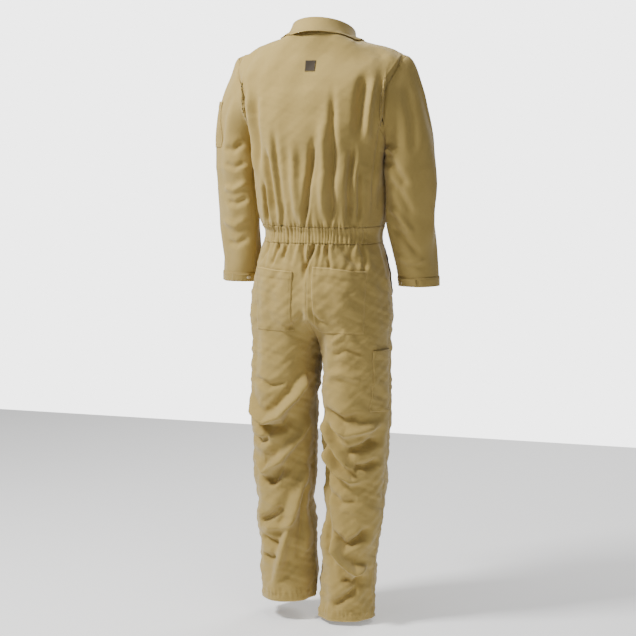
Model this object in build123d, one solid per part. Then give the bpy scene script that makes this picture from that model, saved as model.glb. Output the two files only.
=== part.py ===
"""Full-length zip-front coverall of a beekeeping suit, as it hangs on a wearer.

Frame: +Z up, the front faces -Y, the wearer's left is +X.  The origin is on the
collar seam at the nape of the neck, moved in to the suit's middle plane.
Cloth is drawn thicker than it is, so that every panel is a sturdy closed solid.
"""
from build123d import *
import math
import os

# ---------------------------------------------------------------- driving sizes, mm
CLOTH = 2.0                 # drawn thickness of one cloth panel
HIP_GAP = 1.0               # free space where a leg meets the trunk
SLEEVE_GAP = 2.0            # free space where a sleeve meets the trunk

NECK_TILT = 20.0            # the collar seam slopes down towards the front, degrees
NECK_Y, NECK_Z = -8.0, -29.0
NECK_HALF_WIDTH, NECK_HALF_DEPTH = 80.0, 86.0
STAND_HEIGHT = 20.0

SHOULDER_X, SHOULDER_Z = 240.0, -70.0    # tip of the shoulder
ARMPIT_X, ARMPIT_Z = 183.0, -318.0

WAIST_TOP, WAIST_BOTTOM = -524.0, -567.0

ZIP_TOP_Y, ZIP_TOP_Z = -104.0, -76.0     # the zip is one straight line
ZIP_BOTTOM_Y, ZIP_BOTTOM_Z = -145.0, -720.0
ZIP_GAP = 15.0              # width between the two front edges
TAPE_WIDTH = 17.0
TAPE_THICK = 1.0
TOOTH_PITCH = 4.0
TOOTH_WIDTH, TOOTH_DEPTH, TOOTH_HEIGHT = 2.8, 3.0, 2.2
TEETH_CHANNEL = 1.6         # room for the slider's post between the two rows

TEETH_FLOOR = -CLOTH - 3.3  # where the teeth stand on the tapes
FIRST_TOOTH = 14.0          # from the top end of the tapes
TEETH_ENDS = 30.0           # length of tape left without teeth
TOP_STOP, BOTTOM_STOP = 6.0, 9.0         # from either end of the tapes
STOP_SIZE = (3.2, 5.0, 2.4)
TOP_SLIDER_AT, BOTTOM_SLIDER_AT = 26.0, 28.0
SLIDER_LENGTH, SLIDER_WIDTH, PLATE = 16.0, 11.0, 1.2
SLIDER_PLAY = 0.3           # between the slider's plates and what they run over
POST_WIDTH, POST_LENGTH = 1.0, 10.0
EAR_X, EAR_SIZE, EAR_LIFT = 4.5, (1.4, 4.0, 4.4), 1.8
PIN_RADIUS, PIN_LENGTH, PIN_LIFT, PIN_AT = 0.8, 8.6, 2.4, -4.0
EYE_RADIUS, EYE_WIDTH, EYE_PLAY = 2.0, 6.4, 0.35
PULL_LENGTH, PULL_WIDTH, PULL_THICK, PULL_HOLE = 34.0, 6.2, 1.26, 1.8

LEAF_GAP = 3.0              # between the stand and the leaf turned down over it
LEAF_RISE = 2.0             # the roll line stands this far above the stand
LEAF_SLOPE = 3.0            # the leaf's edge falls further towards its points, degrees
LEAF_FLARE_X, LEAF_FLARE_Y = 16.0, 23.0
LEAF_DROP = 37.0

LOOP_Y, LOOP_Z, LOOP_HALF = 60.4, -14.0, 23.0
LOOP_WIDTH, LOOP_THICK = 8.0, 1.4
LABEL_HALF, LABEL_BOTTOM, LABEL_TOP, LABEL_THICK = 22.0, -112.0, -72.0, 0.8
BADGE_HALF, BADGE_BOTTOM, BADGE_TOP, BADGE_THICK = 14.0, -118.0, -90.0, 1.0
PLEAT_INNER, PLEAT_OUTER, PLEAT_TOP = 140.0, 172.0, -130.0

BAND_PROUD = 1.0            # the waistband stands out this far
ELASTIC_THICK, ELASTIC_HALF, ELASTIC_MARGIN = 1.8, 150.0, 4.0

CUFF_TAB_LIFT = 1.2
CUFF_TAB_ROOT, CUFF_TAB_END, CUFF_SNAP_AT = 10.0, -34.0, -20.0    # from the middle of the cuff
ROOT_GAP, ROOT_WIDTH = 1.5, 3.0
HEM_PROUD = 0.6
SNAP_RADIUS = 5.5
SNAP_THICK = 1.6

POCKET_RIM, POCKET_ROOM, POCKET_CLOTH = 3.0, 2.6, 1.2
UNDER_POCKET = 0.2          # thread of a seam between a pocket and the cloth it is sewn on
SEAT_POCKET_X = (28.0, 158.0)
SEAT_POCKET_Z = (-806.0, -652.0)
RULE_POCKET_Y = (-28.0, 34.0)
RULE_POCKET_Z = (-1012.0, -848.0)
PEN_POCKET_Y = (-26.0, 36.0)
PEN_POCKET_Z = (-330.0, -215.0)
PEN_POCKET_X, PEN_POCKET_THICK = 262.0, 3.0
CHEST_X0, CHEST_X1 = 30.0, 138.0
CHEST_BOTTOM = -372.0
FLAP_TOP, FLAP_BOTTOM = -222.0, -264.0
FLAP_LIFT = 4.6
FLAP_OVERHANG = 2.0         # the flap is this much wider than its pocket on each side
SNAP_ABOVE_EDGE = 11.0
SOCKET_PLAY = 0.4
HINGE_RIDGE = (3.0, 6.0)    # heights above the flap's top of the ridge it is sewn to
WELT_X, WELT_Z, WELT_SLANT = 156.0, -648.0, -14.0
WELT_WIDTH, WELT_LENGTH, WELT_THICK = 14.0, 140.0, 1.2
BAG_X = (64.0, 144.0)
BAG_Z = (-740.0, -600.0)
BAG_DEPTH, BAG_CLOTH = 7.8, 1.2

# Trunk sections: height at the middle, tilt in degrees, half width, back y, corner radius.
# The front follows the straight line of the zip.
SHOULDERS = [
    (-29, 20, 82, 78, 76),
    (-46, 15, 142, 86, 80),
    (-75, 8, 240, 98, 80),
    (-120, 3, 244, 122, 92),
    (-200, 0, 236, 142, 92),
    (-262, 0, 222, 146, 84),
    (-320, 0, 184, 146, 60),
    (-420, 0, 176, 136, 70),
    (-524, 0, 163, 112, 90),
]
WAIST = [(-524, 0, 163, 112, 90), (-567, 0, 163, 112, 90)]
HIPS = [
    (-567, 0, 163, 112, 90),
    (-640, 0, 184, 130, 110),
    (-735, 0, 194, 148, 120),
    (-860, 0, 196, 138, 120),
]
HIP_CUT_Z, HIP_CUT_TILT = -795.0, 18.0   # slanted plane from the groin to the seat fold

# Limb sections for the wearer's left: z, centre x, centre y, half width, half depth.
LEFT_LEG = [
    (-700, 97, 0, 88, 118),
    (-825, 97, 1, 90, 118),
    (-1000, 98, 2, 92, 112),
    (-1150, 102, 0, 85, 98),
    (-1320, 99, 4, 77, 88),
    (-1523, 94, 5, 76, 86),
]
RIGHT_LEG = [
    (-700, -97, 0, 88, 118),
    (-825, -97, 1, 90, 118),
    (-1000, -96, 2, 92, 112),
    (-1150, -98, 0, 85, 98),
    (-1320, -90, 4, 77, 88),
    (-1545, -72, 5, 76, 86),
]
LEFT_HEM = [(-1523, 94, 5, 76, 86), (-1548, 93, 6, 77, 87)]
RIGHT_HEM = [(-1545, -72, 5, 76, 86), (-1590, -70, 6, 77, 87)]
SLEEVE_TUBE = [
    (-375, 246, 4, 60, 68),
    (-450, 244, -5, 57, 64),
    (-586, 246, -35, 53, 58),
    (-660, 251, -50, 49, 52),
]
CUFF_TUBE = [(-660, 251, -50, 49, 52), (-685, 253, -55, 48, 50)]


# ---------------------------------------------------------------- helpers
def zip_y(z):
    """How far forward the line of the zip lies at a height."""
    slope = (ZIP_BOTTOM_Y - ZIP_TOP_Y) / (ZIP_BOTTOM_Z - ZIP_TOP_Z)
    return ZIP_TOP_Y + slope * (z - ZIP_TOP_Z)


def trunk_section(z, tilt, half_width, back, corner, grow=0.0, sink=0.0):
    """A rounded rectangle across the trunk, grown outwards and sunk along its normal."""
    front = zip_y(z - 100 * math.sin(math.radians(tilt)))
    plane = Plane(origin=(0, (front + back) / 2, z)).rotated((tilt, 0, 0)).offset(-sink)
    size = (2 * (half_width + grow), back - front + 2 * grow)
    return plane * RectangleRounded(*size, corner + grow)


def trunk(sections, grow=0.0):
    """Solid trunk through its sections; a negative growth also sinks sloping shoulders."""
    sink = -grow if grow < 0 else 0.0
    faces = [
        trunk_section(*s, grow=grow, sink=sink if s[1] else 0.0) for s in sections
    ]
    return loft(faces, ruled=True)


def extend(sections, top, bottom):
    """The sections with the first and last moved out, so that a cut runs past both ends."""
    first, last = sections[0], sections[-1]
    return [(first[0] + top, *first[1:]), *sections[1:-1], (last[0] - bottom, *last[1:])]


def trunk_shell(sections, outer=0.0, inner=-CLOTH):
    return trunk(sections, outer) - trunk(extend(sections, 0.5, 0.5), inner)


def limb(sections, grow=0.0):
    faces = [
        Plane(origin=(x, y, z)) * Ellipse(a + grow, b + grow)
        for z, x, y, a, b in sections
    ]
    return loft(faces, ruled=True)


def limb_shell(sections, outer=0.0, inner=-CLOTH):
    return limb(sections, outer) - limb(extend(sections, 0.5, 0.5), inner)


def block(x0, x1, y0, y1, z0, z1):
    """A box from its limits."""
    size = (x1 - x0, y1 - y0, z1 - z0)
    return Pos((x0 + x1) / 2, (y0 + y1) / 2, (z0 + z1) / 2) * Box(*size)


def cylinder_along(point, direction, radius, height):
    """A cylinder that starts at a point and runs along a direction."""
    plane = Plane(origin=point, z_dir=direction)
    return plane * Pos(0, 0, height / 2) * Cylinder(radius, height)


def mirrored(shape):
    return mirror(shape, about=Plane.YZ)


def on_zip(distance, lift=0.0):
    """Plane on the zip line, a distance below its top: x across, y down the zip, z outwards."""
    down = Vector(0, ZIP_BOTTOM_Y - ZIP_TOP_Y, ZIP_BOTTOM_Z - ZIP_TOP_Z).normalized()
    out = Vector(0, down.Z, -down.Y)
    origin = Vector(0, ZIP_TOP_Y, ZIP_TOP_Z) + down * distance + out * lift
    return Plane(origin=origin, x_dir=(-1, 0, 0), z_dir=out)


ZIP_LENGTH = math.dist((ZIP_TOP_Y, ZIP_TOP_Z), (ZIP_BOTTOM_Y, ZIP_BOTTOM_Z))
FAR = 900.0
PARTS = {}


def keep(name, shape):
    """Names a piece for writing; a group of pieces stays a compound of solids."""
    shape.label = name
    PARTS[name] = shape


def keep_pair(name, shape):
    """Names a piece of the left side and its mirror image on the right."""
    keep(f"{name}_left", shape)
    keep(f"{name}_right", mirrored(shape))


# ---------------------------------------------------------------- cutters
def armhole_plane():
    """The plane of the left armhole, facing out along the sleeve."""
    along = Vector(ARMPIT_X - SHOULDER_X, 0, ARMPIT_Z - SHOULDER_Z).normalized()
    return Plane(origin=(SHOULDER_X, 0, SHOULDER_Z), x_dir=along, z_dir=(-along.Z, 0, along.X))


def beyond_armhole():
    """Everything outside the left armhole plane, down to the armpit."""
    above = block(0, FAR, -FAR, FAR, ARMPIT_Z, FAR)
    return above & (armhole_plane() * Pos(0, 0, FAR / 2) * Box(FAR, FAR, FAR))


def below_hip(gap):
    """Everything under the slanted plane where the legs bend, moved down by a gap."""
    plane = Plane(origin=(0, 0, HIP_CUT_Z)).rotated((-HIP_CUT_TILT, 0, 0)).offset(-gap)
    return plane * Pos(0, 0, -FAR / 2) * Box(FAR, FAR, FAR)


def neck_plane(height=0.0):
    base = Plane(origin=(0, NECK_Y, NECK_Z)).rotated((NECK_TILT, 0, 0))
    return base.offset(height)


def neck_tube(grow, low, high):
    """Solid neck cylinder between two heights above the collar seam."""
    bottom = neck_plane(low) * Ellipse(NECK_HALF_WIDTH + grow, NECK_HALF_DEPTH + grow)
    top = neck_plane(high) * Ellipse(NECK_HALF_WIDTH + grow, NECK_HALF_DEPTH + grow)
    return loft([bottom, top], ruled=True)


def front_gap(z0, z1):
    return block(-ZIP_GAP / 2, ZIP_GAP / 2, -FAR, 0, z0, z1)


# ---------------------------------------------------------------- jacket
def jacket():
    shell = trunk_shell(SHOULDERS)
    shell -= neck_tube(0, -60, 120)
    outside = beyond_armhole()
    shell -= outside
    shell -= mirrored(outside)
    back = shell & block(-FAR, FAR, 0, FAR, -FAR, FAR)
    front = shell & block(ZIP_GAP / 2, FAR, -FAR, 0, -FAR, FAR)
    low, high = HINGE_RIDGE
    x0, x1 = CHEST_X0 - FLAP_OVERHANG, CHEST_X1 + FLAP_OVERHANG
    ridge = block(x0, x1, -FAR, -40, FLAP_TOP + low, FLAP_TOP + high)
    front += (chest_skin(FLAP_LIFT + CLOTH) - chest_skin(-0.5)) & ridge
    keep("back_panel", back)
    keep_pair("front_panel", front)


def action_pleats():
    """The folded-under strip behind each armhole that lets the back spread."""
    lining = trunk(SHOULDERS, -CLOTH) - trunk(SHOULDERS, -2 * CLOTH)
    strip = lining & block(PLEAT_INNER, PLEAT_OUTER, 20, FAR, WAIST_TOP + 6, PLEAT_TOP)
    keep_pair("action_pleat", strip)


def collar():
    stand = neck_tube(0, -30, STAND_HEIGHT) - neck_tube(-CLOTH, -31, STAND_HEIGHT + 1)
    stand -= trunk(SHOULDERS)
    stand -= front_gap(-FAR, FAR)
    keep("collar_stand", stand)
    top = STAND_HEIGHT + CLOTH + LEAF_RISE
    leaf = leaf_cone(LEAF_GAP + CLOTH, top, 0) - leaf_cone(LEAF_GAP, top - CLOTH, -1)
    leaf -= neck_tube(-CLOTH, -60, top + 1)
    leaf -= trunk(SHOULDERS, 1.0)
    notch = Polygon((14, 40), (-14, 40), (-40, -160), (40, -160), align=None)
    leaf -= Plane.XZ.offset(40) * extrude(notch, FAR)
    keep("collar_leaf", leaf)


def leaf_cone(grow, top, low):
    """Cone of the turned-down collar, which hangs lower at its front points."""
    upper = neck_plane(top) * Ellipse(NECK_HALF_WIDTH + grow, NECK_HALF_DEPTH + grow)
    origin = (0, NECK_Y - 4, NECK_Z - LEAF_DROP + low)
    plane = Plane(origin=origin).rotated((NECK_TILT + LEAF_SLOPE, 0, 0))
    half_width = NECK_HALF_WIDTH + grow + LEAF_FLARE_X
    half_depth = NECK_HALF_DEPTH + grow + LEAF_FLARE_Y
    lower = plane * Ellipse(half_width, half_depth)
    return loft([lower, upper], ruled=True)


def inner_neck():
    """Hanging loop and a blank care label, sewn inside the nape."""
    strap = Pos(0, LOOP_Y, LOOP_Z) * Box(2 * LOOP_HALF, LOOP_THICK, LOOP_WIDTH)
    end = Pos(LOOP_HALF + 2.5, LOOP_Y + 2.8, LOOP_Z) * Box(5, 7, LOOP_WIDTH)
    keep("hanger_loop", strap + end + mirrored(end))
    label = trunk(SHOULDERS, -CLOTH) - trunk(SHOULDERS, -CLOTH - LABEL_THICK)
    area = block(-LABEL_HALF, LABEL_HALF, 0, FAR, LABEL_BOTTOM, LABEL_TOP)
    keep("care_label", label & area)


def back_patch():
    """Plain square badge under the collar, with no mark on it."""
    skin = trunk(SHOULDERS, BADGE_THICK) - trunk(SHOULDERS, 0.0)
    area = block(-BADGE_HALF, BADGE_HALF, 0, FAR, BADGE_BOTTOM, BADGE_TOP)
    keep("back_badge", skin & area)


# ---------------------------------------------------------------- waist and seat
def waist():
    outer = trunk(WAIST, BAND_PROUD) - trunk(extend(WAIST, 1, 1), BAND_PROUD - CLOTH)
    keep("waistband_back", outer & block(-FAR, FAR, 0, FAR, -FAR, FAR))
    front = outer & block(ZIP_GAP / 2, FAR, -FAR, 0, -FAR, FAR)
    keep_pair("waistband_front", front)
    top, bottom = WAIST_TOP - ELASTIC_MARGIN, WAIST_BOTTOM + ELASTIC_MARGIN
    band = [(top, *WAIST[0][1:]), (bottom, *WAIST[1][1:])]
    inside = BAND_PROUD - CLOTH
    elastic = trunk(band, inside) - trunk(extend(band, 1, 1), inside - ELASTIC_THICK)
    keep("waist_elastic", elastic & block(-ELASTIC_HALF, ELASTIC_HALF, 0, FAR, -FAR, FAR))


def trousers_top():
    shell = trunk_shell(HIPS) - below_hip(0)
    back = block(0, FAR, 0, FAR, -FAR, FAR)
    front = block(0, FAR, -FAR, 0, -FAR, FAR)
    fly = front_gap(ZIP_BOTTOM_Z, 0)
    keep("seat_left", shell & back)
    keep("seat_right", shell & mirrored(back))
    keep("trouser_front_left", (shell - fly) & front)
    keep("trouser_front_right", (shell - fly) & mirrored(front))


# ---------------------------------------------------------------- limbs
def legs():
    for side, tube, hem in (("left", LEFT_LEG, LEFT_HEM), ("right", RIGHT_LEG, RIGHT_HEM)):
        shell = limb_shell(tube) & below_hip(HIP_GAP)
        keep(f"leg_back_{side}", shell & block(-FAR, FAR, 2, FAR, -2 * FAR, 0))
        keep(f"leg_front_{side}", shell & block(-FAR, FAR, -FAR, 2, -2 * FAR, 0))
        keep(f"leg_hem_{side}", limb(hem, HEM_PROUD) - limb(extend(hem, 0.5, 0.5), -CLOTH))


def edge_on(x0, z0, x1, z1, y=0.0):
    """Plane across the left sleeve, seen edge on from the front as a line between two points."""
    along = Vector(x1 - x0, 0, z1 - z0)
    middle = ((x0 + x1) / 2, y, (z0 + z1) / 2)
    return Plane(origin=middle, x_dir=along, z_dir=(-along.Z, 0, along.X)), along.length / 2


def sleeve_sections():
    """The set-in sleeve: a tall armhole oval that turns down into a round tube."""
    mouth, mouth_half = edge_on(SHOULDER_X, SHOULDER_Z, ARMPIT_X, ARMPIT_Z)
    upper, upper_half = edge_on(276, -112, 186, -326)
    elbow, elbow_half = edge_on(303, -230, 187, -345, 2)
    sections = [
        (mouth.offset(SLEEVE_GAP), mouth_half - 6, 86),
        (upper, upper_half, 86),
        (elbow, elbow_half, 76),
    ]
    for z, x, y, a, b in SLEEVE_TUBE:
        sections.append((Plane(origin=(x, y, z), x_dir=(-1, 0, 0), z_dir=(0, 0, -1)), a, b))
    return sections


def sleeve_solid(grow, past_ends=0.0):
    """The left sleeve as a solid, grown all round and drawn past both of its ends."""
    sections = sleeve_sections()
    planes = [plane for plane, _, _ in sections]
    planes[0] = planes[0].offset(-past_ends)
    planes[-1] = planes[-1].offset(past_ends)
    faces = [plane * Ellipse(a + grow, b + grow) for plane, (_, a, b) in zip(planes, sections)]
    return loft(faces, ruled=True)


def sleeves():
    shell = sleeve_solid(0) - sleeve_solid(-CLOTH, 0.5)
    keep_pair("sleeve", shell)
    outline = block(PEN_POCKET_X, FAR, *PEN_POCKET_Y, *PEN_POCKET_Z)
    face = sleeve_solid(UNDER_POCKET + PEN_POCKET_THICK) - sleeve_solid(UNDER_POCKET, 0.5)
    keep("pen_pocket", face & outline)


def cuffs():
    """Hemmed cuffs; the lapped end of each opens on a snap at the back of the wrist."""
    _, x, y, _, _ = CUFF_TUBE[-1]
    bottom, top = CUFF_TUBE[-1][0] + 1, CUFF_TUBE[0][0] - 2
    start = x + CUFF_TAB_ROOT + ROOT_GAP
    root = block(start, start + ROOT_WIDTH, y, FAR, bottom, top)
    cuff = limb(CUFF_TUBE, HEM_PROUD) + (limb(CUFF_TUBE, CUFF_TAB_LIFT + CLOTH) & root)
    cuff -= limb(extend(CUFF_TUBE, 0.5, 0.5), -CLOTH)
    skin = limb(CUFF_TUBE, CUFF_TAB_LIFT + CLOTH)
    tab = skin - limb(extend(CUFF_TUBE, 0.5, 0.5), CUFF_TAB_LIFT)
    tab &= block(x + CUFF_TAB_END, x + CUFF_TAB_ROOT - 1, y, FAR, bottom, top)
    middle = (top + bottom) / 2
    cap = cylinder_along((x + CUFF_SNAP_AT, y, middle), (-0.35, 1, 0), SNAP_RADIUS, FAR / 4)
    cap = (cap & limb(CUFF_TUBE, CUFF_TAB_LIFT + CLOTH + SNAP_THICK)) - skin
    keep_pair("cuff", cuff)
    keep_pair("cuff_tab", tab)
    keep_pair("cuff_snap", cap)


# ---------------------------------------------------------------- pockets
def patch_pocket(skin, outline):
    """Open-topped pocket: a face that stands off the cloth, on a rim round three sides.

    skin(grow) gives the solid of the garment grown by that much; the outline is a
    box whose bounding box sets the rim.
    """
    box = outline.bounding_box()
    hollow = block(
        box.min.X + POCKET_RIM, box.max.X - POCKET_RIM, box.min.Y - 1, box.max.Y + 1,
        box.min.Z + POCKET_RIM, box.max.Z + 20,
    )
    face = (skin(POCKET_ROOM + POCKET_CLOTH) - skin(UNDER_POCKET)) & outline
    return face - (hollow & skin(POCKET_ROOM))


def seat_pockets():
    outline = block(*SEAT_POCKET_X, 40, FAR, *SEAT_POCKET_Z)
    pocket = patch_pocket(lambda grow: trunk(HIPS, grow), outline)
    keep_pair("seat_pocket", pocket - below_hip(0))


def rule_pocket():
    """Long narrow tool pocket on the outside of the right thigh."""
    back, front = RULE_POCKET_Y
    bottom, top = RULE_POCKET_Z
    outline = block(-FAR, -150, back, front, bottom, top)
    side = limb(RIGHT_LEG, POCKET_ROOM + POCKET_CLOTH) - limb(RIGHT_LEG, UNDER_POCKET)
    hollow = block(-FAR, -100, back + POCKET_RIM, front - POCKET_RIM, bottom + POCKET_RIM, top + 48)
    keep("rule_pocket", (side & outline) - (hollow & limb(RIGHT_LEG, POCKET_ROOM)))


def chest_skin(grow):
    return trunk(SHOULDERS, grow)


def chest_pockets():
    outline = block(CHEST_X0, CHEST_X1, -FAR, -40, CHEST_BOTTOM, FLAP_TOP - 8)
    pocket = patch_pocket(chest_skin, outline)
    face = FLAP_LIFT + CLOTH
    x0, x1 = CHEST_X0 - FLAP_OVERHANG, CHEST_X1 + FLAP_OVERHANG
    flap_area = block(x0, x1, -FAR, -40, FLAP_BOTTOM, FLAP_TOP)
    flap = (chest_skin(face) - chest_skin(FLAP_LIFT)) & flap_area
    snap_at = ((CHEST_X0 + CHEST_X1) / 2, -80, FLAP_BOTTOM + SNAP_ABOVE_EDGE)
    pin = cylinder_along(snap_at, (0, -1, 0), SNAP_RADIUS, 90)
    cap = pin & (chest_skin(face + SNAP_THICK) - chest_skin(face))
    room = chest_skin(FLAP_LIFT - SOCKET_PLAY) - chest_skin(POCKET_ROOM + POCKET_CLOTH)
    socket = pin & room
    keep_pair("chest_pocket", pocket)
    keep_pair("chest_flap", flap)
    keep_pair("chest_snap", cap)
    keep_pair("chest_socket", socket)


def hip_pockets():
    """Slant front pockets: a welt on the outside and a bag hanging inside."""
    skin = trunk(HIPS, WELT_THICK) - trunk(HIPS, 0.0)
    strip = Pos(WELT_X, -100, WELT_Z) * Rot(0, WELT_SLANT, 0) * Box(WELT_WIDTH, 200, WELT_LENGTH)
    welt = skin & strip
    outside = -CLOTH - UNDER_POCKET
    bag = trunk(HIPS, outside) - trunk(HIPS, outside - BAG_DEPTH)
    bag &= block(*BAG_X, -FAR, -30, *BAG_Z)
    hollow = trunk(HIPS, outside - BAG_CLOTH) - trunk(HIPS, outside - BAG_DEPTH + BAG_CLOTH)
    x0, x1 = BAG_X
    hollow &= block(x0 + 3, x1 - 3, -FAR, -20, BAG_Z[0] + 4, BAG_Z[1] + 10)
    bag -= hollow
    keep_pair("hip_welt", welt)
    keep_pair("pocket_bag", bag)


# ---------------------------------------------------------------- zip
def zip_tapes_and_teeth():
    tape_plane = on_zip(ZIP_LENGTH / 2, TEETH_FLOOR - TAPE_THICK / 2)
    for side, sign in (("left", -1), ("right", 1)):
        tape_x = sign * (TEETH_CHANNEL / 2 + 0.6 + TAPE_WIDTH / 2)
        tape = tape_plane * Pos(tape_x, 0, 0) * Box(TAPE_WIDTH, ZIP_LENGTH, TAPE_THICK)
        keep(f"zip_tape_{side}", tape)
        tooth_x = sign * (TEETH_CHANNEL / 2 + TOOTH_WIDTH / 2)
        count = int((ZIP_LENGTH - TEETH_ENDS) // TOOTH_PITCH)
        stagger = TOOTH_PITCH / 2 if sign > 0 else 0.0
        teeth = [
            on_zip(FIRST_TOOTH + stagger + i * TOOTH_PITCH, TEETH_FLOOR + TOOTH_HEIGHT / 2)
            * Pos(tooth_x, 0, 0)
            * Box(TOOTH_WIDTH, TOOTH_DEPTH, TOOTH_HEIGHT)
            for i in range(count)
        ]
        keep(f"zip_teeth_{side}", Compound(children=teeth))
    stops = [
        on_zip(at, TEETH_FLOOR + STOP_SIZE[2] / 2) * Pos(sign * 2.6, 0, 0) * Box(*STOP_SIZE)
        for at in (TOP_STOP, ZIP_LENGTH - BOTTOM_STOP)
        for sign in (-1, 1)
    ]
    keep("zip_stops", Compound(children=stops))


def zip_slider(name, at):
    """Slider whose post runs in the channel between the teeth, and the pull that hangs from it."""
    top_lift = TEETH_FLOOR + TOOTH_HEIGHT + SLIDER_PLAY + PLATE / 2
    under_lift = TEETH_FLOOR - TAPE_THICK - SLIDER_PLAY - PLATE / 2
    ear_lift = top_lift + PLATE / 2 + EAR_LIFT
    pin_lift = top_lift + PLATE / 2 + PIN_LIFT
    middle = on_zip(at)
    plate = Box(SLIDER_WIDTH, SLIDER_LENGTH, PLATE)
    post = Box(POST_WIDTH, POST_LENGTH, top_lift - under_lift)
    body = middle.offset(top_lift) * plate + middle.offset(under_lift) * plate
    body += middle.offset((top_lift + under_lift) / 2) * post
    for x in (-EAR_X, EAR_X):
        body += middle.offset(ear_lift) * Pos(x, PIN_AT, 0) * Box(*EAR_SIZE)
    across = middle.offset(pin_lift) * Pos(0, PIN_AT, 0) * Rot(0, 90, 0)
    keep(f"zip_slider_{name}", body + across * Cylinder(PIN_RADIUS, PIN_LENGTH))
    strip_plane = middle.offset(pin_lift + SLIDER_PLAY)
    strip_y = PIN_AT + 1.2 + PULL_LENGTH / 2
    strip = strip_plane * Pos(0, strip_y, 0) * Box(PULL_WIDTH, PULL_LENGTH, PULL_THICK)
    hole = strip_plane * Pos(0, PIN_AT + PULL_LENGTH - 3, 0) * Cylinder(PULL_HOLE, 6)
    pull = across * Cylinder(EYE_RADIUS, EYE_WIDTH) + strip - hole
    pull -= across * Cylinder(PIN_RADIUS + EYE_PLAY, 20)
    keep(f"zip_pull_{name}", pull)


def zips():
    zip_tapes_and_teeth()
    zip_slider("top", TOP_SLIDER_AT)
    zip_slider("bottom", ZIP_LENGTH - BOTTOM_SLIDER_AT)


# ---------------------------------------------------------------- build
def main():
    jacket()
    action_pleats()
    collar()
    inner_neck()
    back_patch()
    waist()
    trousers_top()
    legs()
    sleeves()
    cuffs()
    seat_pockets()
    rule_pocket()
    chest_pockets()
    hip_pockets()
    zips()
    os.makedirs("parts", exist_ok=True)
    for name, shape in PARTS.items():
        export_step(shape, f"parts/{name}.step")
        print(name, len(shape.solids()), round(shape.volume))


main()
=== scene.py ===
"""The looks of the coverall: draped cloth panels, stitching, zip, snaps, lights and camera."""
import bpy
import math
import numpy as np
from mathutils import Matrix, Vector
from mathutils.bvhtree import BVHTree


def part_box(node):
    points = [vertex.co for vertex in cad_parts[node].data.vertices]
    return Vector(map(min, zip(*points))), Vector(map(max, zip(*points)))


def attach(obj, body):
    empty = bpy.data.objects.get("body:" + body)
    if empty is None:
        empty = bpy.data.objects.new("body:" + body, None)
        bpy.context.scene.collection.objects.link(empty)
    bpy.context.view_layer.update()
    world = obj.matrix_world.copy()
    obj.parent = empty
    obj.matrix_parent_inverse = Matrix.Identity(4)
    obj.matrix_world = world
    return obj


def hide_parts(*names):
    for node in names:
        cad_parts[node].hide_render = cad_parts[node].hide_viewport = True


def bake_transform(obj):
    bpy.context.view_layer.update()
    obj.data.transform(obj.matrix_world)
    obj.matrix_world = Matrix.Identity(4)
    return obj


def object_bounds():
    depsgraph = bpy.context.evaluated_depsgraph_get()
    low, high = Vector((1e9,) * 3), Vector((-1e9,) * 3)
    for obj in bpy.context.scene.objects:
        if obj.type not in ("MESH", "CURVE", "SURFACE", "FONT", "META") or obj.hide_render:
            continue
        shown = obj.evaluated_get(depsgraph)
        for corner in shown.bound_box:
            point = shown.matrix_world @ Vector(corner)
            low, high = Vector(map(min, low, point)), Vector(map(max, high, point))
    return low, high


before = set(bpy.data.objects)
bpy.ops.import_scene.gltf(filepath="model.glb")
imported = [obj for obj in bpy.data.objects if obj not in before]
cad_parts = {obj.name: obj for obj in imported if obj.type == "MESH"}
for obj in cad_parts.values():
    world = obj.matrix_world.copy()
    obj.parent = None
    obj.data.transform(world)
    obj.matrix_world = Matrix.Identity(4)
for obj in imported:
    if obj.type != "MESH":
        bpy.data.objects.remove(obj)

CAD_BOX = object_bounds()

# ---------------------------------------------------------------- sizes, metres
CLOTH = 0.0011            # thickness of one ply as shown
FINER = 3                 # each coarse square becomes this many squares each way
SHOULDER = np.array([0.236, 0.004, -0.074])
ARMPIT = np.array([0.184, 0.0, -0.318])
NECK_X, NECK_Y, NECK_SIDE_Z = 0.081, -0.008, -0.030
NECK_BACK, NECK_FRONT = 0.086, 0.086
NECK_TILT = math.radians(20)
WAIST_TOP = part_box("waistband_back")[1][2]
WAIST_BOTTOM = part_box("waistband_back")[0][2]
HEM_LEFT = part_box("leg_hem_left")[0][2]
HEM_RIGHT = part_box("leg_hem_right")[0][2]
CUFF_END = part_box("cuff_left")[0][2]
ZIP_HALF_GAP = 0.0075
CROTCH_Z = -0.846
SLEEVE_LEAN = math.radians(-28)   # the sleeve's oval leans to the front outside
SIDES = (("left", 1), ("right", -1))


def smooth(x, low=0.0, high=1.0):
    """Smoothstep from 0 at low to 1 at high."""
    t = np.clip((np.asarray(x, float) - low) / (high - low), 0, 1)
    return t * t * (3 - 2 * t)


def table(z, rows):
    """Row values interpolated smoothly at heights z; the first column of rows is height."""
    rows = np.array(rows, float)
    order = np.argsort(rows[:, 0])
    knots, values = rows[order, 0], rows[order, 1:]
    slopes = np.gradient(values, knots, axis=0)
    z = np.clip(np.asarray(z, float), knots[0], knots[-1])
    i = np.clip(np.searchsorted(knots, z) - 1, 0, len(knots) - 2)
    h = (knots[i + 1] - knots[i])[..., None]
    t = ((z - knots[i])[..., None]) / h
    a, b, sa, sb = values[i], values[i + 1], slopes[i], slopes[i + 1]
    return (
        a * (2 * t**3 - 3 * t**2 + 1) + b * (3 * t**2 - 2 * t**3)
        + sa * h * (t**3 - 2 * t**2 + t) + sb * h * (t**3 - t**2)
    )


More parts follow.
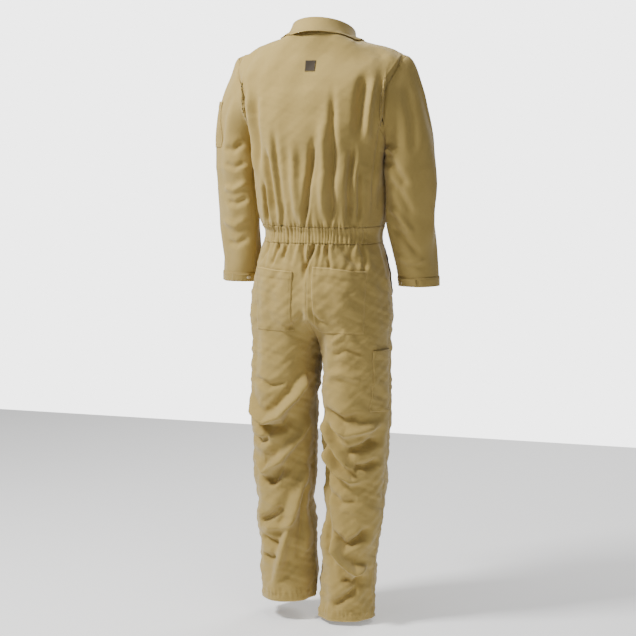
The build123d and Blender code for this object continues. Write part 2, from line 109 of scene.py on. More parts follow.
# Trunk: height, half width, front y, back y, y of the side seam, roundness power.
TRUNK = [
    (-0.100, 0.232, -0.098, 0.098, 0.004, 2.6),
    (-0.150, 0.230, -0.106, 0.122, 0.004, 2.8),
    (-0.230, 0.215, -0.112, 0.136, 0.002, 2.8),
    (-0.318, 0.186, -0.117, 0.140, 0.000, 2.7),
    (-0.420, 0.176, -0.124, 0.130, -0.004, 2.5),
    (-0.500, 0.168, -0.130, 0.114, -0.006, 2.4),
    (-0.546, 0.160, -0.133, 0.106, -0.008, 2.4),
    (-0.600, 0.172, -0.137, 0.120, -0.006, 2.4),
    (-0.680, 0.188, -0.141, 0.140, -0.002, 2.4),
    (-0.760, 0.192, -0.138, 0.140, 0.004, 2.3),
    (-0.860, 0.188, -0.122, 0.122, 0.006, 2.1),
]
# Legs: height, centre x, centre y, half width, half depth.
LEFT_LEG = [
    (-0.700, 0.098, 0.002, 0.094, 0.124),
    (-0.860, 0.097, 0.002, 0.090, 0.115),
    (-1.000, 0.101, 0.003, 0.088, 0.108),
    (-1.150, 0.103, -0.002, 0.083, 0.096),
    (-1.320, 0.099, 0.006, 0.078, 0.088),
    (-1.480, 0.094, 0.004, 0.077, 0.086),
    (-1.550, 0.092, 0.006, 0.076, 0.086),
]
RIGHT_LEG = [
    (-0.700, -0.098, 0.002, 0.094, 0.124),
    (-0.860, -0.097, 0.002, 0.090, 0.115),
    (-1.000, -0.097, 0.003, 0.088, 0.108),
    (-1.150, -0.097, -0.002, 0.083, 0.096),
    (-1.320, -0.089, 0.006, 0.078, 0.088),
    (-1.480, -0.077, 0.004, 0.076, 0.086),
    (-1.590, -0.070, 0.006, 0.076, 0.086),
]
# Left sleeve: height, centre x, centre y, half long axis, half short axis.
SLEEVE = [
    (-0.375, 0.246, 0.004, 0.070, 0.054),
    (-0.450, 0.245, -0.005, 0.070, 0.048),
    (-0.586, 0.247, -0.035, 0.064, 0.044),
    (-0.660, 0.251, -0.050, 0.054, 0.045),
    (-0.686, 0.253, -0.055, 0.051, 0.045),
]


def round_section(theta, half_width, front, back, side_y, power):
    """Point of a rounded section; theta 0 is the side, +90 degrees the back middle."""
    c, s = np.cos(theta), np.sin(theta)
    reach = np.where(s >= 0, back - side_y, side_y - front)
    x = half_width * np.sign(c) * np.abs(c) ** (2 / power)
    y = side_y + reach * np.sign(s) * np.abs(s) ** (2 / power)
    return x, y


# ---------------------------------------------------------------- cloth panels
def armhole(t, side):
    """Edge of the armhole from the shoulder tip (0) to the armpit (1); side +1 back, -1 front."""
    t = np.asarray(t, float)
    p = SHOULDER + (ARMPIT - SHOULDER) * t[..., None]
    bow = np.sin(np.pi * np.clip(t, 0, 1)) ** 0.85
    inward = 0.012 if side > 0 else 0.026
    p = p + bow[..., None] * np.array([-inward, side * 0.078, 0.0])
    return p


def spread_angles(n, power):
    """Angles from the side to the middle with even spacing along a rounded section."""
    dense = np.linspace(0, np.pi / 2, 800)
    x, y = round_section(dense, 1.5, -1.0, 1.0, 0.0, power)
    length = np.concatenate([[0], np.cumsum(np.hypot(np.diff(x), np.diff(y)))])
    return np.interp(np.linspace(0, length[-1], n), length, dense)


def torso_half(rows, columns, side):
    """Left half of the jacket's back (+1) or front (-1), from its edge in to the middle.

    The first rows fall from the shoulder seam over the shoulder, the others follow the trunk.
    """
    power = 2.7
    theta = side * spread_angles(columns, power)
    v = np.linspace(0, 1, rows)
    z_middle_top = NECK_SIDE_Z + side * 0.0294
    grid = np.zeros((rows, columns, 3))
    # top row: shoulder seam, then round the neck
    seam = 0.56
    s = np.linspace(0, 1, columns)
    top = np.zeros((columns, 3))
    neck_point = np.array([NECK_X, NECK_Y, NECK_SIDE_Z])
    for j, a in enumerate(s):
        if a <= seam:
            k = a / seam
            top[j] = SHOULDER + (neck_point - SHOULDER) * k
            top[j][2] += 0.006 * math.sin(math.pi * k)
        else:
            angle = (a - seam) / (1 - seam) * math.pi / 2
            depth = NECK_BACK if side > 0 else NECK_FRONT
            top[j] = [
                NECK_X * math.cos(angle),
                NECK_Y + side * depth * math.cos(NECK_TILT) * math.sin(angle),
                NECK_SIDE_Z + side * depth * math.sin(NECK_TILT) * math.sin(angle),
            ]
    for i, a in enumerate(v):
        arm = a / 0.5                       # armhole takes the first half of the rows
        if arm <= 1:
            edge = armhole(np.array(arm), side)
        else:
            z = ARMPIT[2] + (WAIST_TOP - ARMPIT[2]) * (arm - 1)
            section = table(z, TRUNK)
            edge = np.array([section[0], section[3], z])
        z_edge = edge[2]
        z_middle = z_middle_top + (WAIST_TOP - z_middle_top) * a
        z = z_edge + (z_middle - z_edge) * smooth(s, 0.0, 0.62)
        section = table(np.minimum(z, -0.1), TRUNK)
        x, y = round_section(theta, section[:, 0], section[:, 1], section[:, 2], section[:, 3], power)
        body = np.stack([x, y, z], axis=1)
        body[:, 0] *= 1 + (edge[0] / max(body[0, 0], 1e-6) - 1) * (1 - smooth(s, 0, 0.55))
        pull = 1 - smooth(s, 0.0, 0.42)
        body[:, 1] += (edge[1] - body[0, 1]) * pull
        fall = min(1.0, a / 0.30)
        over, down = math.sin(fall * math.pi / 2), 1 - math.cos(fall * math.pi / 2)
        row = body.copy()
        row[:, :2] = top[:, :2] + (body[:, :2] - top[:, :2]) * over
        row[:, 2] = top[:, 2] + (body[:, 2] - top[:, 2]) * (down * 0.45 + over * 0.55)
        row[0] = edge
        grid[i] = row
    if side < 0:
        gap = smooth(s, 0.8, 1.0) * ZIP_HALF_GAP
        grid[:, :, 0] = np.maximum(grid[:, :, 0], gap)
    else:
        grid[:, -1, 0] = 0
    return grid


def trouser_half(z_levels, columns, side, leg):
    """One leg's back (+1) or front (-1) panel from the side seam to the middle or the inseam."""
    sign = 1.0 if np.mean([r[1] for r in leg]) > 0 else -1.0
    s = np.linspace(0, 1, columns)
    rows = []
    for z in z_levels:
        section = table(max(z, -0.86), TRUNK)
        angle = side * spread_angles(columns, section[4])
        x1, y1 = round_section(angle, section[0], section[1], section[2], section[3], section[4])
        cx, cy, a, b = table(z, leg)
        around = side * s * math.pi
        x2 = sign * cx + a * np.cos(around)
        y2 = cy + b * np.sign(np.sin(around)) * np.abs(np.sin(around)) ** 0.9
        w = float(smooth(-z, 0.735, -CROTCH_Z)) ** 1.3
        inner = x2[-1]
        x2 = np.where(z > CROTCH_Z - 0.03, x2 - s**3 * inner * (1 - w), x2)
        rows.append(np.stack([x1 + (x2 - x1) * w, y1 + (y2 - y1) * w, np.full(columns, z)], axis=1))
    grid = np.array(rows)
    grid[:, :, 0] *= sign
    return grid


def sleeve_half(rows, columns, side):
    """Back (+1) or front (-1) half of the left sleeve, from the shoulder line to the underarm."""
    t = np.linspace(0, 1, columns)
    top = armhole(t, side)
    z0 = SLEEVE[0][0]
    grid = np.zeros((rows, columns, 3))
    cap = int(rows * 0.42)
    normal = np.array([0.978, 0, -0.208])

    def ring(z):
        x0, y0, long_axis, short_axis = table(z, SLEEVE)
        around = side * t * np.pi        # 0 is the outer side, 180 degrees the inner side
        px, py = np.cos(around) * long_axis, np.sin(around) * short_axis
        c, s = math.cos(SLEEVE_LEAN), math.sin(SLEEVE_LEAN)
        return np.stack([x0 + px * c - py * s, y0 + px * s + py * c, np.full(columns, z)], axis=1)

    end = ring(z0)
    drop = np.linalg.norm(end - top, axis=1)[:, None]
    start_pull = normal * drop * (0.38 * (1 - t)[:, None] + 0.16)
    end_pull = np.array([0.0, 0.0, -1.0]) * drop * 1.15
    for i in range(rows):
        if i <= cap:
            h = i / cap
            grid[i] = (
                top * (2 * h**3 - 3 * h**2 + 1) + end * (3 * h**2 - 2 * h**3)
                + start_pull * (h**3 - 2 * h**2 + h) + end_pull * (h**3 - h**2)
            )
        else:
            grid[i] = ring(z0 + (CUFF_END - z0) * (i - cap) / (rows - 1 - cap))
    return grid


# ---------------------------------------------------------------- the cut and sewn cloth
COLUMNS = 20              # coarse columns of a quarter panel
ARM_ROWS = 20             # coarse rows along an armhole
JACKET_ROWS = 2 * ARM_ROWS + 1
BAND_ROWS = 3
SEAT_ROWS = 20
LEG_ROWS = 52
SLEEVE_ROWS = 50


def quarter(side, leg, hem_z):
    """One side of the back (+1) or front (-1), from the neck to the hem, in coarse rows."""
    sign = 1.0 if leg is LEFT_LEG else -1.0
    jacket = torso_half(JACKET_ROWS, COLUMNS, side)
    band = np.linspace(WAIST_TOP, WAIST_BOTTOM, BAND_ROWS + 1)[1:]
    seat = np.linspace(WAIST_BOTTOM, CROTCH_Z, SEAT_ROWS + 1)[1:]
    lower = np.linspace(CROTCH_Z, hem_z, LEG_ROWS + 1)[1:]
    levels = np.concatenate([band, seat, lower])
    trousers = trouser_half(levels, COLUMNS, side, leg)
    trousers[:, :, 0] *= sign
    s = np.linspace(0, 1, COLUMNS)
    above = levels >= CROTCH_Z - 1e-6
    trousers[above, :, 0] -= trousers[above, -1:, 0] * s**4
    if side < 0:
        gap = ZIP_HALF_GAP * (1 - smooth(-levels, 0.70, 0.735))
        trousers[:, :, 0] = np.where(
            above[:, None], np.maximum(trousers[:, :, 0], gap[:, None] * s**6), trousers[:, :, 0]
        )
        trousers[above, -1, 0] = gap[above]
    grid = np.concatenate([jacket, trousers])
    grid[:, :, 0] *= sign
    return grid


def mirrored(grid):
    return grid * np.array([-1, 1, 1])


GRIDS = {
    "back_left": quarter(1, LEFT_LEG, HEM_LEFT),
    "back_right": quarter(1, RIGHT_LEG, HEM_RIGHT),
    "front_left": quarter(-1, LEFT_LEG, HEM_LEFT),
    "front_right": quarter(-1, RIGHT_LEG, HEM_RIGHT),
    "sleeve_back_left": sleeve_half(SLEEVE_ROWS, ARM_ROWS + 1, 1),
    "sleeve_front_left": sleeve_half(SLEEVE_ROWS, ARM_ROWS + 1, -1),
}
GRIDS["sleeve_back_right"] = mirrored(GRIDS["sleeve_back_left"])
GRIDS["sleeve_front_right"] = mirrored(GRIDS["sleeve_front_left"])
BAND_START = JACKET_ROWS - 1
BAND_END = BAND_START + BAND_ROWS
CROTCH_LINE = SEAT_ROWS * FINER + 1        # fine rows of the trousers down to the crotch


def grid_faces(rows, columns, flip):
    """Quads of a grid, wound so that they face out."""
    i, j = np.meshgrid(np.arange(rows - 1), np.arange(columns - 1), indexing="ij")
    a = (i * columns + j).ravel()
    quad = np.stack([a, a + 1, a + columns + 1, a + columns], axis=1)
    return quad[:, ::-1] if flip else quad


def flipped(name):
    """Whether a grid's own winding faces inwards."""
    return ("back" in name) == ("left" in name)


def weld(grids, reach=0.0015):
    """Joins the grids along their seams; gives points, faces and each grid's point numbers."""
    points = np.concatenate([g.reshape(-1, 3) for g in grids.values()])
    cells = {}
    owner = np.arange(len(points))
    for n, p in enumerate(points):
        key = tuple(np.floor(p / 0.004).astype(int))
        found = -1
        for dx in (-1, 0, 1):
            for dy in (-1, 0, 1):
                for dz in (-1, 0, 1):
                    for m in cells.get((key[0] + dx, key[1] + dy, key[2] + dz), ()):
                        if found < 0 and np.linalg.norm(points[m] - p) < reach:
                            found = m
        if found >= 0:
            owner[n] = found
        else:
            cells.setdefault(key, []).append(n)
    kept, number = np.unique(owner, return_inverse=True)
    index, faces, start = {}, [], 0
    for name, g in grids.items():
        count = g.shape[0] * g.shape[1]
        index[name] = number[start:start + count].reshape(g.shape[:2])
        quad = grid_faces(*g.shape[:2], flipped(name))
        faces.append(index[name].ravel()[quad])
        start += count
    return points[kept], np.concatenate(faces), index


def wave_noise(points, scale, seed, waves=9):
    """Smooth seeded noise made of a few plane waves; scale is the wavelength per axis."""
    rng = np.random.default_rng(seed)
    total = np.zeros(len(points))
    for _ in range(waves):
        k = rng.normal(size=3) / np.array(scale) * 2 * np.pi / 1.7
        total += np.sin(points @ k + rng.uniform(0, 2 * np.pi))
    return total / math.sqrt(waves)


def normals_of(points, faces):
    a, b, c, d = (points[faces[:, i]] for i in range(4))
    n = np.cross(c - a, d - b)
    total = np.zeros_like(points)
    for i in range(4):
        np.add.at(total, faces[:, i], n)
    return total / np.maximum(np.linalg.norm(total, axis=1, keepdims=True), 1e-12)


def new_object(name, points, faces):
    """A smooth-shaded mesh object in the scene."""
    mesh = bpy.data.meshes.new(name)
    mesh.from_pydata([tuple(p) for p in points], [], [tuple(int(i) for i in f) for f in faces])
    mesh.update()
    mesh.polygons.foreach_set("use_smooth", [True] * len(mesh.polygons))
    obj = bpy.data.objects.new(name, mesh)
    bpy.context.scene.collection.objects.link(obj)
    return obj


def drape(points, faces, index):
    """Hangs the sewn coverall over a hidden figure with the Cloth simulation."""
    normals = normals_of(points, faces)
    pins = np.zeros(len(points))
    for name, ids in index.items():
        if name.startswith("sleeve"):
            pins[ids[-2:]] = 1.0
            pins[ids[:1]] = 0.0
        else:
            pins[ids[0, 8:]] = 1.0
            pins[ids[BAND_START:BAND_END + 1]] = 1.0
            pins[ids[-2:]] = 1.0
            if name.startswith("front"):
                pins[ids[:BAND_END + 12, -1]] = 1.0
    figure = new_object("figure", points - normals * 0.012, faces)
    figure.modifiers.new("Collision", "COLLISION")
    figure.collision.thickness_outer = 0.002
    figure.collision.cloth_friction = 12
    cloth = new_object("drape", points, faces)
    group = cloth.vertex_groups.new(name="pins")
    for weight in np.unique(pins[pins > 0]):
        group.add([int(i) for i in np.nonzero(pins == weight)[0]], float(weight), "REPLACE")
    sim = cloth.modifiers.new("Cloth", "CLOTH")
    settings = sim.settings
    settings.quality = 6
    settings.mass = 0.12
    settings.tension_stiffness = 18
    settings.compression_stiffness = 18
    settings.shear_stiffness = 6
    settings.bending_stiffness = 0.35
    settings.tension_damping = 5
    settings.compression_damping = 5
    settings.air_damping = 2
    settings.shrink_min = -0.035
    settings.vertex_group_mass = "pins"
    sim.collision_settings.collision_quality = 2
    sim.collision_settings.distance_min = 0.002
    sim.collision_settings.use_self_collision = False
    frames = 32
    sim.point_cache.frame_start = 1
    sim.point_cache.frame_end = frames
    scene = bpy.context.scene
    for f in range(1, frames + 1):
        scene.frame_set(f)
    graph = bpy.context.evaluated_depsgraph_get()
    mesh = cloth.evaluated_get(graph).to_mesh()
    out = np.zeros(len(mesh.vertices) * 3)
    mesh.vertices.foreach_get("co", out)
    scene.frame_set(1)
    for obj in (cloth, figure):
        bpy.data.objects.remove(obj)
    return out.reshape(-1, 3)


POINTS, FACES, INDEX = weld(GRIDS)
START = POINTS + normals_of(POINTS, FACES) * (
    0.0035 * wave_noise(POINTS, (0.10, 0.10, 0.16), 3)[:, None]
)


def eased(shift, faces, rounds=5, share=0.72):
    """The sag of the drape without its smallest ripples."""
    for _ in range(rounds):
        total, count = np.zeros_like(shift), np.zeros((len(shift), 1))
        for a in range(4):
            b = (a + 1) % 4
            np.add.at(total, faces[:, a], shift[faces[:, b]])
            np.add.at(total, faces[:, b], shift[faces[:, a]])
            np.add.at(count, faces[:, a], 1)
            np.add.at(count, faces[:, b], 1)
        shift = 0.4 * shift + 0.6 * total / count
    return shift * share


HUNG = START + eased(drape(START, FACES, INDEX) - START, FACES)


# ---------------------------------------------------------------- fine cloth
def spline_matrix(count, factor):
    """Matrix that turns count values into a smooth row with factor steps in each gap."""
    total = (count - 1) * factor + 1
    matrix = np.zeros((total, count + 2))
    for i in range(total):
        k = min(i // factor, count - 2)
        t = i / factor - k
        weights = (
            -0.5 * t + t * t - 0.5 * t**3,
            1 - 2.5 * t * t + 1.5 * t**3,
            0.5 * t + 2 * t * t - 1.5 * t**3,
            -0.5 * t * t + 0.5 * t**3,
        )
        matrix[i, k:k + 4] += weights
    out = matrix[:, 1:-1].copy()
    out[:, 0] += 2 * matrix[:, 0]
    out[:, 1] -= matrix[:, 0]
    out[:, -1] += 2 * matrix[:, -1]
    out[:, -2] -= matrix[:, -1]
    return out


def refined(grid, rows, columns):
    a = spline_matrix(grid.shape[0], rows)
    b = spline_matrix(grid.shape[1], columns)
    return np.einsum("ij,jkc,lk->ilc", a, grid, b)


def grid_normals(grid, outward):
    """Unit normals of a grid, turned to the side that outward (+1 or -1) says."""
    across = np.gradient(grid, axis=1)
    down = np.gradient(grid, axis=0)
    n = np.cross(across, down) * outward
    return n / np.maximum(np.linalg.norm(n, axis=2, keepdims=True), 1e-12)


def lengths(grid, axis):
    """Distance run along one axis of a grid, in metres."""
    step = np.linalg.norm(np.diff(grid, axis=axis), axis=2)
    pad = np.zeros((1, grid.shape[1])) if axis == 0 else np.zeros((grid.shape[0], 1))
    return np.concatenate([pad, np.cumsum(step, axis=axis)], axis=axis)


def segment_distance(x, z, line):
    """Distance from points to a polyline, and how far along it the nearest point lies (0 to 1)."""
    line = np.array(line, float)
    pieces = np.linalg.norm(np.diff(line, axis=0), axis=1)
    ends = np.concatenate([[0], np.cumsum(pieces)]) / pieces.sum()
    best = np.full(x.shape, 1e9)
    along = np.zeros(x.shape)
    for k in range(len(line) - 1):
        a, b = line[k], line[k + 1]
        d = b - a
        t = np.clip(((x - a[0]) * d[0] + (z - a[1]) * d[1]) / (d @ d), 0, 1)
        r = np.hypot(x - a[0] - t * d[0], z - a[1] - t * d[1])
        near = r < best
        best = np.where(near, r, best)
        along = np.where(near, ends[k] + t * (ends[k + 1] - ends[k]), along)
    return best, along


def fold(x, z, line, width, height):
    """Height of one fold (positive is a ridge) that fades out towards the ends of its line."""
    r, along = segment_distance(x, z, line)
    taper = smooth(along, 0, 0.22) * smooth(1 - along, 0, 0.22)
    taper = 0.12 + 0.88 * taper
    ends = np.where((along <= 0) | (along >= 1), np.exp(-(r / width) ** 2), 1)
    shape = np.exp(-(r / width) ** 2) - 0.38 * np.exp(-(r / (2.3 * width)) ** 2)
    return height * shape * taper * ends / 0.62


# Folds of the back, as lines of (x, z) with a width and a height.
BACK_FOLDS = [
    ([(0.119, -0.31), (0.108, -0.40), (0.097, -0.50)], 0.010, -0.0075),
    ([(0.128, -0.40), (0.124, -0.47), (0.122, -0.52)], 0.006, -0.006),
    ([(0.092, -0.26), (0.080, -0.42), (0.071, -0.52)], 0.010, -0.0055),
    ([(0.040, -0.30), (0.036, -0.42), (0.030, -0.52)], 0.012, 0.005),
    ([(-0.019, -0.29), (-0.002, -0.43), (0.012, -0.52)], 0.009, -0.008),
    ([(-0.045, -0.24), (-0.044, -0.38), (-0.036, -0.52)], 0.013, 0.006),
    ([(-0.069, -0.16), (-0.072, -0.34), (-0.063, -0.52)], 0.010, -0.007),
    ([(-0.119, -0.30), (-0.110, -0.42), (-0.102, -0.52)], 0.009, -0.008),
    ([(-0.135, -0.36), (-0.130, -0.45), (-0.127, -0.52)], 0.006, -0.005),
    ([(-0.150, -0.12), (-0.140, -0.20), (-0.134, -0.29)], 0.014, -0.007),
    ([(-0.172, -0.13), (-0.156, -0.24), (-0.150, -0.31)], 0.010, 0.006),
    ([(0.150, -0.16), (0.148, -0.26), (0.140, -0.38)], 0.012, -0.005),
    ([(0.176, -0.15), (0.165, -0.27), (0.155, -0.40)], 0.010, 0.005),
]
SEAT_FOLDS = [
    ([(-0.017, -0.562), (-0.008, -0.59), (0.008, -0.635)], 0.0055, -0.006),
    ([(0.016, -0.562), (0.012, -0.60), (0.004, -0.66)], 0.007, -0.005),
    ([(0.088, -0.562), (0.095, -0.59), (0.108, -0.63)], 0.006, -0.005),
    ([(0.060, -0.562), (0.066, -0.58), (0.075, -0.61)], 0.005, -0.0045),
    ([(0.125, -0.562), (0.132, -0.59), (0.150, -0.62)], 0.006, -0.004),
    ([(-0.045, -0.562), (-0.055, -0.60), (-0.062, -0.64)], 0.006, -0.004),
    ([(-0.080, -0.562), (-0.105, -0.595), (-0.136, -0.63)], 0.011, -0.006),
    ([(-0.125, -0.562), (-0.140, -0.60), (-0.146, -0.65)], 0.006, -0.004),
    ([(0.006, -0.74), (0.030, -0.775), (0.062, -0.80)], 0.009, -0.005),
    ([(-0.010, -0.74), (-0.032, -0.77), (-0.050, -0.775)], 0.008, -0.005),
    ([(-0.060, -0.83), (-0.100, -0.80), (-0.130, -0.815)], 0.009, 0.004),
    ([(-0.055, -0.865), (-0.105, -0.845), (-0.150, -0.86)], 0.009, -0.004),
]
LEG_FOLDS = [
    ([(0.185, -0.985), (0.160, -1.026), (0.125, -1.046), (0.088, -1.028), (0.040, -0.972), (0.008, -0.895)],
     0.011, 0.0115),
    ([(0.165, -1.055), (0.120, -1.072), (0.075, -1.062), (0.045, -1.025)], 0.013, -0.009),
    ([(0.182, -1.095), (0.150, -1.108), (0.115, -1.095)], 0.011, -0.007),
    ([(0.178, -1.160), (0.136, -1.192), (0.090, -1.155), (0.045, -1.090), (0.010, -1.010)], 0.011, 0.010),
    ([(0.150, -1.215), (0.110, -1.213), (0.070, -1.170)], 0.011, -0.007),
    ([(0.162, -1.335), (0.117, -1.314), (0.075, -1.280)], 0.011, -0.007),
    ([(0.140, -1.350), (0.090, -1.342), (0.060, -1.320)], 0.010, 0.006),
    ([(0.152, -1.372), (0.118, -1.384), (0.090, -1.390)], 0.010, -0.006),
    ([(0.150, -1.425), (0.125, -1.430), (0.105, -1.425)], 0.009, -0.005),
    ([(0.012, -1.130), (0.045, -1.250), (0.072, -1.350), (0.092, -1.440), (0.112, -1.520)], 0.013, 0.008),
    ([(0.026, -1.200), (0.034, -1.330), (0.045, -1.450)], 0.012, -0.005),
    ([(-0.020, -1.030), (-0.056, -1.100), (-0.098, -1.155), (-0.125, -1.175)], 0.011, 0.009),
    ([(-0.024, -1.105), (-0.066, -1.175), (-0.110, -1.203), (-0.140, -1.195)], 0.010, 0.010),
    ([(-0.050, -1.040), (-0.098, -1.070), (-0.150, -1.058), (-0.184, -1.040)], 0.012, 0.008),
    ([(-0.030, -1.010), (-0.090, -1.035), (-0.140, -1.020)], 0.012, -0.006),
    ([(-0.095, -1.125), (-0.145, -1.105), (-0.180, -1.085)], 0.012, -0.009),
    ([(-0.110, -1.165), (-0.150, -1.160), (-0.175, -1.145)], 0.010, -0.006),
    ([(-0.035, -1.230), (-0.080, -1.262), (-0.130, -1.255)], 0.012, -0.005),
    ([(-0.045, -1.335), (-0.095, -1.378), (-0.135, -1.355), (-0.152, -1.325)], 0.012, -0.009),
    ([(-0.048, -1.370), (-0.084, -1.420), (-0.116, -1.452), (-0.150, -1.436)], 0.011, 0.011),
    ([(-0.080, -1.470), (-0.112, -1.482), (-0.140, -1.468)], 0.010, -0.007),
    ([(-0.146, -1.475), (-0.100, -1.515), (-0.052, -1.550)], 0.012, -0.007),
    ([(-0.022, -1.060), (-0.030, -1.200), (-0.042, -1.350), (-0.060, -1.460)], 0.011, -0.006),
    ([(-0.040, -0.925), (-0.090, -0.905), (-0.140, -0.925)], 0.011, 0.004),
    ([(0.060, -0.935), (0.110, -0.950), (0.165, -0.930)], 0.010, -0.004),
]
SLEEVE_FOLDS = [
    ([(0.205, -0.300), (0.232, -0.325), (0.262, -0.318)], 0.010, -0.006),
    ([(0.198, -0.355), (0.228, -0.372), (0.262, -0.360)], 0.009, -0.005),
    ([(0.196, -0.410), (0.236, -0.432), (0.270, -0.425)], 0.010, 0.006),
    ([(0.196, -0.452), (0.232, -0.470), (0.262, -0.462)], 0.009, -0.006),
    ([(0.200, -0.505), (0.240, -0.530), (0.285, -0.515)], 0.011, 0.005),
    ([(0.205, -0.560), (0.240, -0.582), (0.270, -0.575)], 0.009, -0.005),
    ([(0.230, -0.160), (0.262, -0.240), (0.280, -0.330)], 0.013, -0.005),
    ([(-0.186, -0.330), (-0.200, -0.318), (-0.225, -0.330)], 0.008, 0.007),
    ([(-0.186, -0.345), (-0.210, -0.360), (-0.250, -0.420)], 0.012, -0.007),
    ([(-0.190, -0.400), (-0.225, -0.425), (-0.262, -0.500)], 0.012, -0.005),
    ([(-0.192, -0.470), (-0.222, -0.492), (-0.258, -0.545)], 0.010, 0.006),
    ([(-0.195, -0.520), (-0.230, -0.548), (-0.272, -0.600)], 0.010, -0.006),
    ([(-0.205, -0.600), (-0.240, -0.618), (-0.285, -0.612)], 0.010, 0.005),
    ([(-0.240, -0.150), (-0.262, -0.240), (-0.268, -0.340)], 0.014, -0.005),
]
FRONT_FOLDS = [
    ([(0.155, -0.34), (0.144, -0.44), (0.140, -0.52)], 0.009, -0.006),
    ([(0.118, -0.385), (0.112, -0.46), (0.104, -0.52)], 0.008, -0.004),
    ([(0.082, -0.40), (0.078, -0.52)], 0.010, 0.003),
    ([(-0.150, -0.32), (-0.139, -0.43), (-0.132, -0.52)], 0.010, -0.006),
    ([(-0.108, -0.39), (-0.096, -0.52)], 0.008, -0.004),
    ([(-0.070, -0.42), (-0.062, -0.52)], 0.009, 0.004),
    ([(0.050, -0.57), (0.053, -0.60), (0.058, -0.645)], 0.007, -0.004),
    ([(0.093, -0.57), (0.098, -0.595), (0.104, -0.62)], 0.007, -0.004),
    ([(-0.041, -0.57), (-0.045, -0.59), (-0.046, -0.625)], 0.007, -0.004),
    ([(-0.078, -0.57), (-0.086, -0.605), (-0.098, -0.66)], 0.008, -0.004),
    ([(0.014, -0.775), (0.070, -0.812), (0.152, -0.800)], 0.012, -0.005),
    ([(0.020, -0.830), (0.075, -0.852), (0.130, -0.842)], 0.011, 0.004),
    ([(-0.012, -0.770), (-0.062, -0.822), (-0.140, -0.838)], 0.012, -0.006),
    ([(-0.022, -0.850), (-0.070, -0.880), (-0.115, -0.885)], 0.012, 0.004),
    ([(0.178, -1.020), (0.130, -1.062), (0.070, -1.050)], 0.012, 0.006),
    ([(0.040, -1.085), (0.090, -1.118), (0.150, -1.105)], 0.013, -0.006),
    ([(0.172, -1.150), (0.128, -1.178), (0.085, -1.160)], 0.012, 0.006),
    ([(0.045, -1.330), (0.085, -1.372), (0.140, -1.378)], 0.012, -0.005),
    ([(0.150, -1.420), (0.105, -1.440), (0.060, -1.425)], 0.012, 0.005),
    ([(0.060, -1.190), (0.078, -1.300), (0.092, -1.420)], 0.014, 0.004),
    ([(-0.176, -1.000), (-0.120, -1.052), (-0.060, -1.035)], 0.012, -0.005),
    ([(-0.035, -1.070), (-0.085, -1.090), (-0.150, -1.060)], 0.013, 0.006),
    ([(-0.040, -1.130), (-0.090, -1.168), (-0.160, -1.150)], 0.012, -0.006),
    ([(-0.140, -1.200), (-0.100, -1.225), (-0.055, -1.210)], 0.012, 0.004),
    ([(-0.045, -1.360), (-0.090, -1.402), (-0.140, -1.390)], 0.012, 0.005),
    ([(-0.150, -1.450), (-0.100, -1.482), (-0.050, -1.500)], 0.012, -0.005),
    ([(-0.070, -1.190), (-0.078, -1.300), (-0.066, -1.440)], 0.014, 0.004),
]
PLEAT_LINES = [            # the folded edge of the pleat that runs down beside each armhole
    ([(sign * 0.222, -0.085), (sign * 0.203, -0.170), (sign * 0.186, -0.250), (sign * 0.170, -0.330),
      (sign * 0.160, -0.430), (sign * 0.152, -0.515)], 0.0035, -0.0036)
    for sign in (1, -1)
]


def folds_on(grid, normals, back):
    """Total height of the folds on a panel; they fade where the cloth turns to the side."""
    x, z = grid[..., 0], grid[..., 2]
    facing = normals[..., 1] if back else -normals[..., 1]
    total = np.zeros(x.shape)
    lines = BACK_FOLDS + SEAT_FOLDS + LEG_FOLDS if back else FRONT_FOLDS
    for line, width, height in lines:
        total += fold(x, z, line, width, height)
    lower = smooth(-z, 0.80, 0.95)
    total = ((1.5 + 0.7 * lower) if back else 1.1) * total * smooth(facing, 0.12, 0.60)
    if back:
        for line, width, height in PLEAT_LINES:
            total += fold(x, z, line, width, height) * smooth(facing, -0.2, 0.2)
    trouser = smooth(-z, 0.56, 0.66)
    flat = grid.reshape(-1, 3)
    crumple = wave_noise(flat, (0.075, 0.09, 0.045), 21) + 0.6 * wave_noise(flat, (0.035, 0.05, 0.024), 22)
    return total + 0.0015 * crumple.reshape(x.shape) * (0.35 + 0.65 * trouser)


def ruched(grid, elastic):
    """Fine gathers of the waist, strongest in the band and fading above and below it."""
    x, z = grid[..., 0], grid[..., 2]
    middle = (WAIST_TOP + WAIST_BOTTOM) / 2
    half = (WAIST_TOP - WAIST_BOTTOM) / 2
    away = np.maximum(np.abs(z - middle) - half, 0)
    fine = np.exp(-(away / 0.012) ** 2)
    wide = np.exp(-(away / 0.050) ** 1.4)
    warp = 0.35 * np.sin(37 * x + 1.0) + 0.30 * np.sin(83 * x + 2.0 + 30 * z)
    small = np.sin(2 * np.pi * x / 0.0088 + 5 * warp)
    small = small * (0.65 + 0.35 * np.sin(2 * np.pi * x / 0.047 + 9 * warp))
    large = np.sin(2 * np.pi * x / 0.026 + 4.2 * warp + 14 * (z - middle))
    stretch = smooth(elastic - np.abs(x), 0, 0.03)
    plain = 0.18                        # share of the gathers beyond the elastic
    return (0.0026 * small * fine + 0.0030 * large * wide * (0.3 + 0.7 * (away > 0))) * (
        plain + (1 - plain) * stretch
    )


def edge_distance(grid):
    """Distance of every point from the first and last column, and from the first and last row."""
    across, down = lengths(grid, 1), lengths(grid, 0)
    return across, across[:, -1:] - across, down, down[-1:, :] - down


